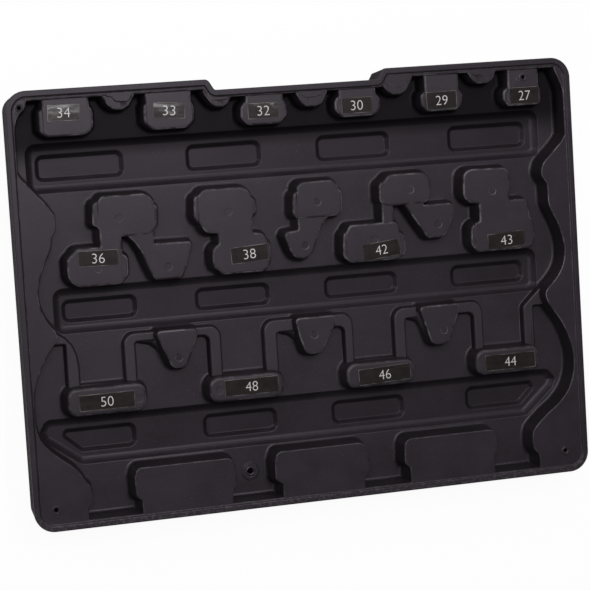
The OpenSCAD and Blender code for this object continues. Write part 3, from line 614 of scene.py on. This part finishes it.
def contours(field, level):
    """Lines along which a field on the grid has this value, as arrays of points."""
    f = field.reshape(GRID_COLUMNS.shape) - level
    f[np.abs(f) < 1e-9] = 1e-9
    up = f > 0
    points, links = {}, {}

    def crossing(upward, j, i):
        """Where the line cuts the grid between a point and the next one, to the right or upward."""
        key = (upward, j, i)
        if key not in points:
            t = f[j, i] / (f[j, i] - f[j + upward, i + 1 - upward])
            points[key] = (LOW + GRID * (i + (0 if upward else t)), LOW + GRID * (j + (t if upward else 0)))
        return key

    code = up[:-1, :-1] * 1 + up[:-1, 1:] * 2 + up[1:, 1:] * 4 + up[1:, :-1] * 8
    for j, i in zip(*np.nonzero((code > 0) & (code < 15))):
        cut = []
        if up[j, i] != up[j, i + 1]:
            cut.append(crossing(0, j, i))
        if up[j, i + 1] != up[j + 1, i + 1]:
            cut.append(crossing(1, j, i + 1))
        if up[j + 1, i] != up[j + 1, i + 1]:
            cut.append(crossing(0, j + 1, i))
        if up[j, i] != up[j + 1, i]:
            cut.append(crossing(1, j, i))
        for k in range(0, len(cut), 2):
            links.setdefault(cut[k], []).append(cut[k + 1])
            links.setdefault(cut[k + 1], []).append(cut[k])
    lines, used = [], set()
    starts = [k for k in links if len(links[k]) == 1] + list(links)
    for start in starts:
        if start in used:
            continue
        line, here = [start], start
        used.add(start)
        while True:
            ahead = [k for k in links[here] if k not in used]
            if not ahead:
                break
            here = ahead[0]
            used.add(here)
            line.append(here)
        if len(line) > 2 and start in links[here]:
            line.append(start)
        if len(line) > 1:
            lines.append(np.array([points[k] for k in line]))
    return lines


def simplified(line, tolerance):
    """The line without the points that lie on the straight between others."""
    keep = np.zeros(len(line), bool)
    keep[[0, -1]] = True
    stack = [(0, len(line) - 1)]
    if np.allclose(line[0], line[-1]):
        middle = len(line) // 2
        keep[middle] = True
        stack = [(0, middle), (middle, len(line) - 1)]
    while stack:
        a, b = stack.pop()
        if b - a < 2:
            continue
        u = line[b] - line[a]
        length = math.hypot(*u)
        q = line[a + 1:b] - line[a]
        d = np.abs(q[:, 0] * u[1] - q[:, 1] * u[0]) / max(length, 1e-9)
        k = int(np.argmax(d))
        if d[k] > tolerance:
            k += a + 1
            keep[k] = True
            stack += [(a, k), (k, b)]
    return line[keep]


def visible_runs(line, hidden):
    """The stretches of a line where hidden is not positive, cut where it turns positive."""
    runs, run = [], []
    for k in range(len(line)):
        if hidden[k] <= 0:
            if not run and k > 0:
                t = hidden[k - 1] / (hidden[k - 1] - hidden[k] + 1e-12)
                run.append(line[k - 1] + (line[k] - line[k - 1]) * t)
            run.append(line[k])
        elif run:
            t = -hidden[k - 1] / (hidden[k] - hidden[k - 1] + 1e-12)
            run.append(line[k - 1] + (line[k] - line[k - 1]) * t)
            runs.append(np.array(run))
            run = []
    if len(run) > 1:
        runs.append(np.array(run))
    return runs


FAR = 50.0
# How far lines may stray when they are thinned, and how deep they may lie under another shape
STRAY, STRAY_HOLLOW, UNDER, UNDER_HOLLOW = 0.012, 0.015, 0.02, 0.005
# Where lines run over rounded edges, feet and sides, as shares of their width
EDGE_STEPS, FOOT_STEPS = (0.0, 0.42, 0.74, 0.94, 1.02), (0.0, 0.1, 0.35, 0.66, 1.0)
TROUGH_STEPS = (-0.08, -0.04, 0, 0.04, 0.08, 0.2, 0.34, 0.5, 0.68, 0.86, 1)
POCKET_STEPS = (-0.16, -0.08, 0, 0.08, 0.16, 0.84, 0.92, 1, 1.08, 1.16)
EAR_STEPS, VENT_STEPS = (-0.5, -0.2, 0, 0.2, 0.5), (-1, -0.6, -0.2, 0.2, 0.6, 1)
BURR_STEPS = (-2, -1.2, -0.7, -0.35, 0, 0.35, 0.7, 1.2, 2)
# Heights at which lower shapes meet the sides of each class
MET_AT = {"deck": (Z_TAB, Z_PAD, Z_WEDGE, Z_RIB), "pad": (Z_WEDGE, Z_RIB), "long": (Z_RIB,), "tab": (Z_PAD,),
          "wedge": (Z_RIB, Z_FILL)}


def class_lines(name, group):
    """Lines over the edges, sides and feet of the shapes of one class."""
    base = base_height(GRID_X, GRID_Y)[0]
    inner = np.full(GRID_X.shape, FAR)
    levels = MET_AT.get(name, ())
    walls = {z: np.full(GRID_X.shape, FAR) for z in (group[0].floor, *levels)}
    for f in group:
        m = f.near(GRID_X, GRID_Y)
        s, nx, ny = f.distance(GRID_X[m], GRID_Y[m])
        lean = f.lean[0] * nx * nx + f.lean[1] * ny * ny
        inner[m] = np.minimum(inner[m], s)
        for z in walls:
            floor = base[m] if z is None else z
            walls[z][m] = np.minimum(walls[z][m], s - reach(f.top - floor, lean, f.edge_r))
    f = group[0]
    tilt = math.atan((f.lean[0] + f.lean[1]) / 2)
    tangent = math.tan(math.pi / 4 - tilt / 2)
    t1, t2 = f.edge_r * tangent, f.foot_r * tangent
    s1, s2 = f.edge_r * math.cos(tilt) - t1, t2 - f.foot_r * math.cos(tilt)
    found = []
    for k in EDGE_STEPS:
        found += contours(inner, -t1 + (s1 + t1) * k)
    for k in FOOT_STEPS:
        found += contours(walls[f.floor], s2 + (t2 - s2) * k)
    for z in levels:
        found += contours(walls[z], 0.0)
    return found


def bend_lines():
    """All lines along which the front bends, thinned out."""
    lines = []
    for name, group in CLASSES.items():
        found = class_lines(name, group)
        if not found:
            continue
        every = np.vstack(found)
        own = height(every[:, 0], every[:, 1], group, bare=True)[0]
        whole = height(every[:, 0], every[:, 1], bare=True)[0]
        over = whole - own - UNDER
        k = 0
        for line in found:
            lines += [simplified(run, STRAY) for run in visible_runs(line, over[k:k + len(line)])]
            k += len(line)
    for shapes, side, steps in ((TROUGHS, TROUGH_SIDE, TROUGH_STEPS), (POCKETS, POCKET_SIDE, POCKET_STEPS)):
        for poly in shapes:
            field = np.full(GRID_X.shape, FAR)
            low, high = poly.min(0) - 2, poly.max(0) + 2
            m = (GRID_X > low[0]) & (GRID_X < high[0]) & (GRID_Y > low[1]) & (GRID_Y < high[1])
            field[m] = distance(poly, GRID_X[m], GRID_Y[m])[0]
            for k in steps:
                for line in contours(field, -side * k):
                    x, y = line.T
                    over = height(x, y, bare=True)[0] - base_height(x, y)[0]
                    lines += [simplified(run, STRAY_HOLLOW)
                              for run in visible_runs(line, over - UNDER_HOLLOW)]
    for ex, low, high, way in EARS:
        for k in EAR_STEPS:
            lines.append(np.column_stack([np.full(9, ex + way * k * EAR_STEP), np.linspace(low, high, 9)]))
    for vx, vy in VENTS:
        lines += [closed(disc(vx, vy, VENT_R + k * VENT_W)) for k in VENT_STEPS]
    for vx, vy in SLOTTED:
        for k in range(-9, 10):
            at = k * SLOT_PITCH / 8
            half = math.sqrt(max((VENT_R - VENT_W) ** 2 - at ** 2, 0))
            along = np.linspace(-half, half, 5)[:, None] * np.array([DIAGONAL, -DIAGONAL])
            lines.append(np.array([vx, vy]) + at * np.array([DIAGONAL, DIAGONAL]) + along)
    for bx, by, radius, width, *_ in BURRS:
        lines += [closed(disc(bx, by, radius + k * width)) for k in BURR_STEPS if radius + k * width > 0.2]
    for poly in HOLES:
        centre = poly.mean(0)
        lines += [closed(centre + (poly - centre) * k) for k in (1, 0.6)]
    return lines


# Lines end this far inside the panel's edge
BORDER = 0.12


def triangulated(lines, boundary):
    """Vertices and triangles of the plan, with every line as an edge."""
    points, edges = [], []
    ring = len(boundary)
    points += [tuple(p) for p in boundary]
    edges += [(k, (k + 1) % ring) for k in range(ring)]
    for line in lines:
        s = distance(boundary, line[:, 0], line[:, 1])[0]
        for run in visible_runs(line, s + BORDER):
            if len(run) < 2:
                continue
            first = len(points)
            points += [tuple(p) for p in run]
            edges += [(first + k, first + k + 1) for k in range(len(run) - 1)]
    verts, _, faces, *_ = delaunay_2d_cdt([Vector(p) for p in points], edges, [], 0, 1e-4, False)
    verts = np.array([v[:] for v in verts])
    faces = np.array(faces)
    centre = verts[faces].mean(1)
    return verts, faces[distance(boundary, centre[:, 0], centre[:, 1])[0] < 0]


SIDE_LEAN, LEAN_TOP = 3.4, 30.2
PARTING_Z, PARTING_RISE = 28.0, 0.14
# Normals are read this far inside each corner of a face, or this share of the way to its middle
PROBE, PROBE_SHARE = 0.03, 0.2


def side_inset(z):
    """How far the leaning side is in at this height."""
    return max(SIDE_LEAN * (1 - z / LEAN_TOP), 0)


def tray_mesh():
    """The whole outer skin as one closed mesh with its own normals."""
    side = [(0.85, Z_RIM), (0.52, 30.93), (0.24, 30.74), (0.06, 30.46), (0.0, 30.1)]
    side += [(side_inset(z) - (PARTING_RISE if z == PARTING_Z else 0), z)
             for z in (28.4, 28.15, PARTING_Z, 27.9, 27.6, 20, 12, 3.2)]
    side += [(side_inset(2.0) + 0.25, 1.9), (side_inset(1.0) + 0.8, 0.8), (side_inset(0) + 1.5, 0.2),
             (side_inset(0) + 2.3, 0.0)]
    rings = [tray_outline(i) for i, _ in side]
    ring = rings[0][0]
    n = len(ring)
    plan, faces = triangulated(bend_lines(), ring)
    z = height(plan[:, 0], plan[:, 1])[0]
    from_ring = np.array([int(np.argmin(np.hypot(*(plan - p).T))) for p in ring])
    # Each face has its own normals, so that creases stay sharp
    corner = plan[faces]
    centre = corner.mean(1, keepdims=True)
    toward = centre - corner
    step = np.minimum(PROBE / np.maximum(np.linalg.norm(toward, axis=2, keepdims=True), 1e-9), PROBE_SHARE)
    probe = (corner + toward * step).reshape(-1, 2)
    _, gx, gy = height(probe[:, 0], probe[:, 1])
    normals = np.column_stack([-gx, -gy, np.ones(len(gx))])
    normals /= np.linalg.norm(normals, axis=1)[:, None]
    verts = [np.column_stack([plan, z])]
    polys = [tuple(f) for f in faces.tolist()]
    loops = [normals]
    # Side of the panel, ring by ring
    count = len(plan)
    index = [from_ring]
    for (_, level), (points, _) in zip(side[1:], rings[1:]):
        verts.append(np.column_stack([points, np.full(n, level)]))
        index.append(np.arange(count, count + n))
        count += n
    insets = np.array([s[0] for s in side])
    levels = np.array([s[1] for s in side])
    fall = np.column_stack([-np.diff(insets), np.diff(levels)])
    tilt = np.column_stack([-fall[:, 1], fall[:, 0]])
    tilt /= np.linalg.norm(tilt, axis=1)[:, None]
    at = np.vstack([[0.0, 1.0], tilt[:-1] + tilt[1:], [0.0, -1.0]])
    at /= np.linalg.norm(at, axis=1)[:, None]
    side_normals = []
    for k in range(len(side) - 1):
        for i in range(n):
            j = (i + 1) % n
            polys.append((index[k][i], index[k + 1][i], index[k + 1][j], index[k][j]))
            for level, where in ((k, i), (k + 1, i), (k + 1, j), (k, j)):
                out = rings[level][1][where]
                side_normals.append((out[0] * at[level][0], out[1] * at[level][0], at[level][1]))
    loops.append(np.array(side_normals))
    # Back
    last = rings[-1][0]
    bverts, _, bfaces, *_ = delaunay_2d_cdt(
        [Vector(p) for p in last], [(k, (k + 1) % n) for k in range(n)], [], 1, 1e-5, False)
    back = np.array(bfaces)
    centre = np.array([v[:] for v in bverts])[back].mean(1)
    inside = distance(last, centre[:, 0], centre[:, 1])[0] < 0
    for f in back[inside]:
        polys.append(tuple(int(index[-1][v]) for v in f[::-1]))
        loops.append(np.array([[0.0, 0.0, -1.0]] * 3))
    return np.vstack(verts), polys, np.vstack(loops)


def mesh_object(name, verts, polys, normals=None, materials=()):
    mesh = bpy.data.meshes.new(name)
    mesh.from_pydata(to_frame(verts).tolist(), [], [tuple(int(i) for i in p) for p in polys])
    mesh.update()
    mesh.shade_smooth()
    if normals is not None:
        mesh.normals_split_custom_set(np.asarray(normals).tolist())
    for material in materials:
        mesh.materials.append(material)
    obj = bpy.data.objects.new(name, mesh)
    bpy.context.scene.collection.objects.link(obj)
    return obj


# Materials, whose places and heights are metres in the frame


class Tree:
    """Short ways to add nodes to a node tree; each gives the new node's output."""

    def __init__(self, tree):
        self.nodes, self.links = tree.nodes, tree.links

    def join(self, value, socket):
        """Links an output to the socket; anything else, but None, is the socket's own value."""
        if isinstance(value, bpy.types.NodeSocket):
            self.links.new(value, socket)
        elif value is not None:
            socket.default_value = value

    def fill(self, node, **inputs):
        for name, value in inputs.items():
            self.join(value, node.inputs[name.replace("_", " ")])

    def new(self, kind, output, **inputs):
        node = self.nodes.new("ShaderNode" + kind)
        self.fill(node, **inputs)
        return node.outputs[output]

    def noise(self, where, scale, detail=2.0, rough=0.5):
        return self.new("TexNoise", "Fac", Vector=where, Scale=scale, Detail=detail, Roughness=rough)

    def ramp(self, value, *stops):
        """Two colours or greys, each at its place."""
        node = self.nodes.new("ShaderNodeValToRGB")
        self.fill(node, Fac=value)
        for element, (at, colour) in zip(node.color_ramp.elements, stops):
            element.position = at
            element.color = (*colour, 1) if isinstance(colour, tuple) else (colour, colour, colour, 1)
        return node.outputs["Color"]

    def mix(self, factor, a, b):
        node = self.nodes.new("ShaderNodeMix")
        node.data_type = "RGBA"
        a, b = ((*value, 1) if isinstance(value, tuple) else value for value in (a, b))
        self.fill(node, Factor=factor, A=a, B=b)
        return node.outputs["Result"]

    def bump(self, height_, strength, distance_, before=None):
        return self.new("Bump", "Normal", Height=height_, Strength=strength, Distance=distance_,
                        Normal=before)

    def spread(self, value, start, end):
        """0 at the start and 1 at the end of a range, smoothly."""
        node = self.nodes.new("ShaderNodeMapRange")
        node.interpolation_type = "SMOOTHSTEP"
        self.fill(node, Value=value, From_Min=start, From_Max=end)
        return node.outputs["Result"]

    def chain(self, operation, values):
        result = values[0]
        for value in values[1:]:
            node = self.nodes.new("ShaderNodeMath")
            node.operation = operation
            self.join(result, node.inputs[0])
            self.join(value, node.inputs[1])
            result = node.outputs["Value"]
        return result

    def times(self, *values):
        return self.chain("MULTIPLY", values)

    def higher(self, *values):
        return self.chain("MAXIMUM", values)

    def axis(self, vector, name):
        return self.new("SeparateXYZ", name, Vector=vector)


def shader(name):
    """A new material, its tree and its Principled shader."""
    m = bpy.data.materials.new(name)
    m.use_nodes = True
    return m, Tree(m.node_tree), m.node_tree.nodes["Principled BSDF"]


def dull_strip(t, where):
    """Painted shade: the floor behind the top row of pads is darkened and its sheen lowered, and the troughs
    partly so.
    """
    level = t.axis(where, "Z")
    strip = t.times(t.spread(t.axis(where, "Y"), 0.084, 0.103), t.spread(level, 0.025, 0.018))
    return t.higher(strip, t.times(t.spread(level, 0.0152, 0.0132), 0.28))


def worn_edges(t, where):
    """How much paler the plastic is: high rounded edges carry a painted highlight in patches, flat tops of
    ribs and pads a painted sheen a shade paler than the floor, and the rim along the plain edge is really
    scuffed."""
    up = t.axis(t.new("TexCoord", "Normal"), "Z")
    level, across = t.axis(where, "Z"), t.axis(where, "Y")

    def between(start, full, last, end):
        return t.times(t.spread(level, start, full), t.spread(level, end, last))

    band = t.times(t.spread(up, 0.25, 0.55), t.spread(up, 0.985, 0.90))
    broken = t.ramp(t.noise(where, 130, 4, 0.65), (0.44, 0.12), (0.60, 1.0))
    # The painted edge highlights are fainter on the long pads, nearest the plain edge
    fainter_highlights = t.ramp(t.spread(across, -0.047, -0.035), (0.0, 0.42), (1.0, 1.0))
    # Painted highlight on the high rounded edges, broken up in patches
    edges = t.times(band, between(0.0262, 0.0270, 0.0300, 0.0303), broken, fainter_highlights)
    # Painted sheen: the flat tops of ribs and pads a shade paler than the floor
    ribs = t.times(between(0.0200, 0.0206, 0.0212, 0.0216), 0.08)
    pads = t.times(between(0.0274, 0.0280, 0.0287, 0.0290), 0.055)
    tops = t.times(t.higher(ribs, pads), t.spread(up, 0.90, 0.98))
    # Real scuffs on the rim along the plain edge
    rim = t.times(t.spread(across, -0.117, -0.129), t.spread(level, 0.0301, 0.0305))
    scuffs = t.times(rim, t.ramp(t.noise(where, 420, 4, 0.7), (0.48, 0.0), (0.64, 0.38)))
    return t.higher(edges, tops, scuffs)


def plastic():
    """Near-black moulded plastic: mottled sheen, flow lines along the tray, fine grain and specks, with
    painted highlights on edges, painted sheen on tops, and painted shade behind the top row of pads and in
    the troughs.
    """
    m, t, bsdf = shader("tray_plastic")
    where = t.new("TexCoord", "Object")
    mottle = t.noise(where, 38, 5, 0.62)
    flow = t.noise(t.new("Mapping", "Vector", Vector=where, Scale=(38, 420, 60)), 1, 4, 0.6)
    patch = t.noise(where, 14, 2, 0.5)
    body = t.ramp(mottle, (0.3, (0.0092, 0.0072, 0.0097)), (0.72, (0.0180, 0.0142, 0.0189)))
    dust = t.ramp(t.noise(where, 1300, 1, 0.4), (0.67, 0.0), (0.79, 1.0))
    # Pale colour mixed in: painted highlights on edges and painted sheen on tops, with real scuffs and dust
    # specks
    scuffed_and_highlit = t.mix(worn_edges(t, where), t.mix(dust, body, (0.054, 0.049, 0.053)), (0.115, 0.104, 0.114))
    # Painted shade where the floor is enclosed behind the top row of pads, and in the troughs: darker
    # colour, less specular and coat
    painted_shade = dull_strip(t, where)
    sheen = t.mix(flow, t.ramp(mottle, (0.25, 0.38), (0.75, 0.54)), t.ramp(patch, (0.3, 0.43), (0.7, 0.64)))
    relief = t.bump(flow, 0.22, 0.00012, t.bump(patch, 0.4, 0.0007))
    t.fill(bsdf, Base_Color=t.mix(painted_shade, scuffed_and_highlit, (0.0064, 0.0051, 0.0066)),
           Specular_IOR_Level=t.mix(painted_shade, (0.33, 0.33, 0.33), (0.085, 0.085, 0.085)),
           Coat_Weight=t.mix(painted_shade, (0.13, 0.13, 0.13), (0.015, 0.015, 0.015)), Coat_Roughness=0.28,
           Roughness=sheen, Specular_Tint=(0.97, 0.83, 1.0, 1),
           Normal=t.bump(t.noise(where, 2400, 2, 0.6), 0.3, 0.00005, relief))
    return m


def outer_plastic():
    """The same plastic where the mould was blasted: the side and the back, matt and grainy."""
    m, t, bsdf = shader("tray_outside")
    where = t.new("TexCoord", "Object")
    mottle = t.noise(where, 60, 4, 0.6)
    t.fill(bsdf, Base_Color=t.ramp(mottle, (0.3, (0.0150, 0.0112, 0.0130)), (0.7, (0.0220, 0.0170, 0.0190))),
           Roughness=t.ramp(mottle, (0.3, 0.82), (0.7, 0.95)), Specular_IOR_Level=0.12,
           Normal=t.bump(t.noise(where, 1600, 3, 0.7), 0.9, 0.0003))
    return m


def film():
    """Dark glossy label film, not quite flat and dull in streaks, so that what it mirrors breaks up."""
    m, t, bsdf = shader("label_film")
    where = t.new("TexCoord", "Object")
    tone = t.noise(where, 160, 4, 0.6)
    streaks = t.noise(t.new("Mapping", "Vector", Vector=where, Scale=(75, 300, 75)), 1, 3, 0.6)
    t.fill(bsdf, Base_Color=t.ramp(tone, (0.35, (0.0100, 0.0076, 0.0076)), (0.7, (0.0155, 0.0122, 0.0114))),
           Roughness=t.ramp(tone, (0.3, 0.30), (0.7, 0.40)), Specular_IOR_Level=0.17,
           Specular_Tint=(1.0, 0.88, 0.92, 1), Coat_Weight=t.ramp(streaks, (0.43, 1.0), (0.58, 0.30)),
           Coat_Roughness=0.05, Coat_Tint=(1.0, 0.94, 0.96, 1),
           Normal=t.bump(t.noise(where, 520, 3, 0.6), 0.15, 0.0001),
           Coat_Normal=t.bump(t.noise(where, 75, 2, 0.5), 0.04, 0.0012))
    return m


def toned(name, scale, start, end, roughness):
    """A plain finish whose colour wanders between two places of a noise."""
    m, t, bsdf = shader(name)
    tone = t.noise(t.new("TexCoord", "Object"), scale, 3, 0.6)
    t.fill(bsdf, Base_Color=t.ramp(tone, start, end), Roughness=roughness)
    return m


# Labels: size, x, y, length, width, tilt in degrees
LABELS = [
    (34, 36.2, 256.3, 20.5, 10.2, -1.5), (33, 102.2, 253.4, 20.5, 10.0, -4),
    (32, 162.7, 249.4, 20.5, 10.0, -0.5), (30, 224.3, 248.9, 20.5, 10.2, 0),
    (29, 281.6, 248.4, 20.7, 11.6, 0.5), (27, 338.6, 248, 20.7, 10.9, 0),
    (36, 51.4, 166, 25.2, 10, -1.5), (38, 147.9, 160.8, 24.5, 10.5, 3), (42, 235.2, 156.3, 25, 10.6, 6),
    (43, 320.9, 155.7, 25.8, 10.2, 3), (50, 50.8, 77.4, 35.4, 10.2, 0), (48, 143.9, 77.6, 35.4, 10.5, 0),
    (46, 232.6, 76.5, 35.4, 10.4, 2.5), (44, 319.3, 76.7, 35, 10.4, 0),
]
FILM_T, PRINT_T = 0.14, 0.02
FONT_SIZE, FONT_THIN, NUMBER_SIZE = 8.9, -0.13, (7.9, 6.0)


def digits_mesh(text):
    """Outline of a number as flat triangles, in millimetres about its own middle."""
    curve = bpy.data.curves.new("digits", "FONT")
    curve.body = text
    curve.size, curve.offset = FONT_SIZE, FONT_THIN
    curve.resolution_u = 6
    curve.align_x, curve.align_y = "CENTER", "CENTER"
    obj = bpy.data.objects.new("digits", curve)
    bpy.context.scene.collection.objects.link(obj)
    bpy.context.view_layer.update()
    mesh = obj.evaluated_get(bpy.context.evaluated_depsgraph_get()).to_mesh()
    verts = np.array([v.co[:2] for v in mesh.vertices])
    polys = [tuple(p.vertices) for p in mesh.polygons]
    obj.to_mesh_clear()
    bpy.data.objects.remove(obj)
    bpy.data.curves.remove(curve)
    middle = (verts.min(0) + verts.max(0)) / 2
    return (verts - middle) * (np.array(NUMBER_SIZE) / (verts.max(0) - verts.min(0))), polys


EDGE_W, EDGE_IN = 0.28, 0.12


def label_piece(size, x, y, length, width, tilt, finishes):
    """A thin film with rounded corners and a pale cut edge, and the printed number on it."""
    turn = math.radians(tilt)
    rot = np.array([[math.cos(turn), math.sin(turn)], [-math.sin(turn), math.cos(turn)]])
    rings = [(0.0, 0.0, 0), (0.0, FILM_T * 0.6, 0), (EDGE_IN * 0.5, FILM_T * 0.9, 0), (EDGE_IN, FILM_T, 1),
             (EDGE_IN + EDGE_W, FILM_T, 0)]
    verts, polys, slots = [], [], []
    for inset, z, _ in rings:
        ring = box(-length / 2 + inset, -width / 2 + inset, length / 2 - inset, width / 2 - inset, 0.5)
        verts += [(*p, z) for p in ring @ rot]
    n = len(verts) // len(rings)
    for k in range(len(rings) - 1):
        for i in range(n):
            j = (i + 1) % n
            polys.append((k * n + i, k * n + j, (k + 1) * n + j, (k + 1) * n + i))
            slots.append(rings[k][2])
    polys += [tuple(range(n))[::-1], tuple(range((len(rings) - 1) * n, len(rings) * n))]
    slots += [0, 0]
    flat, shapes = digits_mesh(str(size))
    first = len(verts)
    verts += [(*p, FILM_T + PRINT_T) for p in flat @ rot]
    polys += [tuple(i + first for i in p) for p in shapes]
    slots += [2] * len(shapes)
    verts = np.array(verts) + np.array([x, y, Z_PAD])
    obj = mesh_object(f"label_film_{size}", verts, polys, materials=finishes)
    for poly, slot in zip(obj.data.polygons, slots):
        poly.material_index = slot
        poly.use_smooth = False
    return obj


tray = mesh_object("tray_skin", *tray_mesh(), materials=(plastic(), outer_plastic()))
for face in tray.data.polygons:
    face.material_index = int(face.normal.z < 0.01)
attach(tray, "root")
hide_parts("tray")
# The film, its paler cut edge, picked out here and there, and the print
finishes = (
    film(),
    toned("label_edge", 110, (0.42, (0.012, 0.0105, 0.010)), (0.62, (0.15, 0.135, 0.13)), 0.35),
    toned("label_print", 500, (0.3, (0.50, 0.47, 0.48)), (0.7, (0.64, 0.60, 0.62)), 0.45),
)
for entry in LABELS:
    piece = label_piece(*entry, finishes)
    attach(piece, "root")
    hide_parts(f"label_{entry[0]}")


# Camera, floor and light

CAMERA_AT = (-258.24, 276.53, Z_RIM + 1421.34)
RIGHT, DOWN, AHEAD = (
    Vector(v).normalized() for v in (
        (0.95358, -0.06104, 0.29676), (-0.08680, -0.99287, 0.07409), (0.29047, -0.09629, -0.95207))
)
camera_data = bpy.data.cameras.new("camera")
camera_data.sensor_width = 36
camera_data.lens = 144.79
camera_data.clip_end = 20
camera = bpy.data.objects.new("camera", camera_data)
rotation = Matrix((RIGHT, -DOWN, -AHEAD)).transposed().to_4x4()
camera.matrix_world = Matrix.Translation(Vector(to_frame(CAMERA_AT))) @ rotation
bpy.context.scene.collection.objects.link(camera)
bpy.context.scene.camera = camera


FLOOR_HALF, FLOOR_Z, FLOOR_LIT = 4.0, -0.0002, 0.95


def floor_piece():
    """White ground: it shows white to the camera and in reflections, and still takes a shadow."""
    m, t, bsdf = shader("floor")
    t.fill(bsdf, Base_Color=(1, 1, 1, 1), Roughness=0.9)
    lit = t.new("Emission", "Emission", Color=(1, 1, 1, 1), Strength=1.0)
    path = t.nodes.new("ShaderNodeLightPath").outputs
    seen = t.higher(path["Is Camera Ray"], path["Is Glossy Ray"], path["Is Transmission Ray"])
    mix = t.nodes.new("ShaderNodeMixShader")
    t.fill(mix, Fac=t.times(seen, FLOOR_LIT))
    t.join(bsdf.outputs["BSDF"], mix.inputs[1])
    t.join(lit, mix.inputs[2])
    t.fill(t.nodes["Material Output"], Surface=mix.outputs["Shader"])
    mesh = bpy.data.meshes.new("floor")
    corners = [(x * FLOOR_HALF, y * FLOOR_HALF, FLOOR_Z) for x, y in ((-1, -1), (1, -1), (1, 1), (-1, 1))]
    mesh.from_pydata(corners, [], [(0, 1, 2, 3)])
    mesh.materials.append(m)
    obj = bpy.data.objects.new("floor", mesh)
    bpy.context.scene.collection.objects.link(obj)
    return obj


floor_piece()


def area_light(name, at, target, width, height_, power):
    data = bpy.data.lights.new(name, "AREA")
    data.shape = "RECTANGLE"
    data.size, data.size_y = width, height_
    data.energy = power
    obj = bpy.data.objects.new(name, data)
    obj.location = at
    obj.rotation_euler = (Vector(target) - Vector(at)).to_track_quat("-Z", "Y").to_euler()
    bpy.context.scene.collection.objects.link(obj)


area_light("key", (-0.2, 0.436, 1.42), (-0.2, 0.3, 0), 1.3, 0.67, 16)
area_light("top", (0.35, 0.9, 0.75), (0, 0, 0), 0.6, 0.4, 2)
area_light("left", (-1.2, 0.5, 0.7), (0, 0, 0), 0.4, 0.4, 2.5)

# A dim light, and white where the camera looks past the floor
WORLD_LIGHT = 0.12
world = bpy.data.worlds.new("world")
bpy.context.scene.world = world
world.use_nodes = True
t = Tree(world.node_tree)
seen = t.new("LightPath", "Is Camera Ray")
t.fill(t.nodes["Background"], Color=(1, 1, 1, 1),
       Strength=t.new("MapRange", "Result", Value=seen, To_Min=WORLD_LIGHT, To_Max=1.0))
bpy.context.scene.view_settings.view_transform = "Standard"
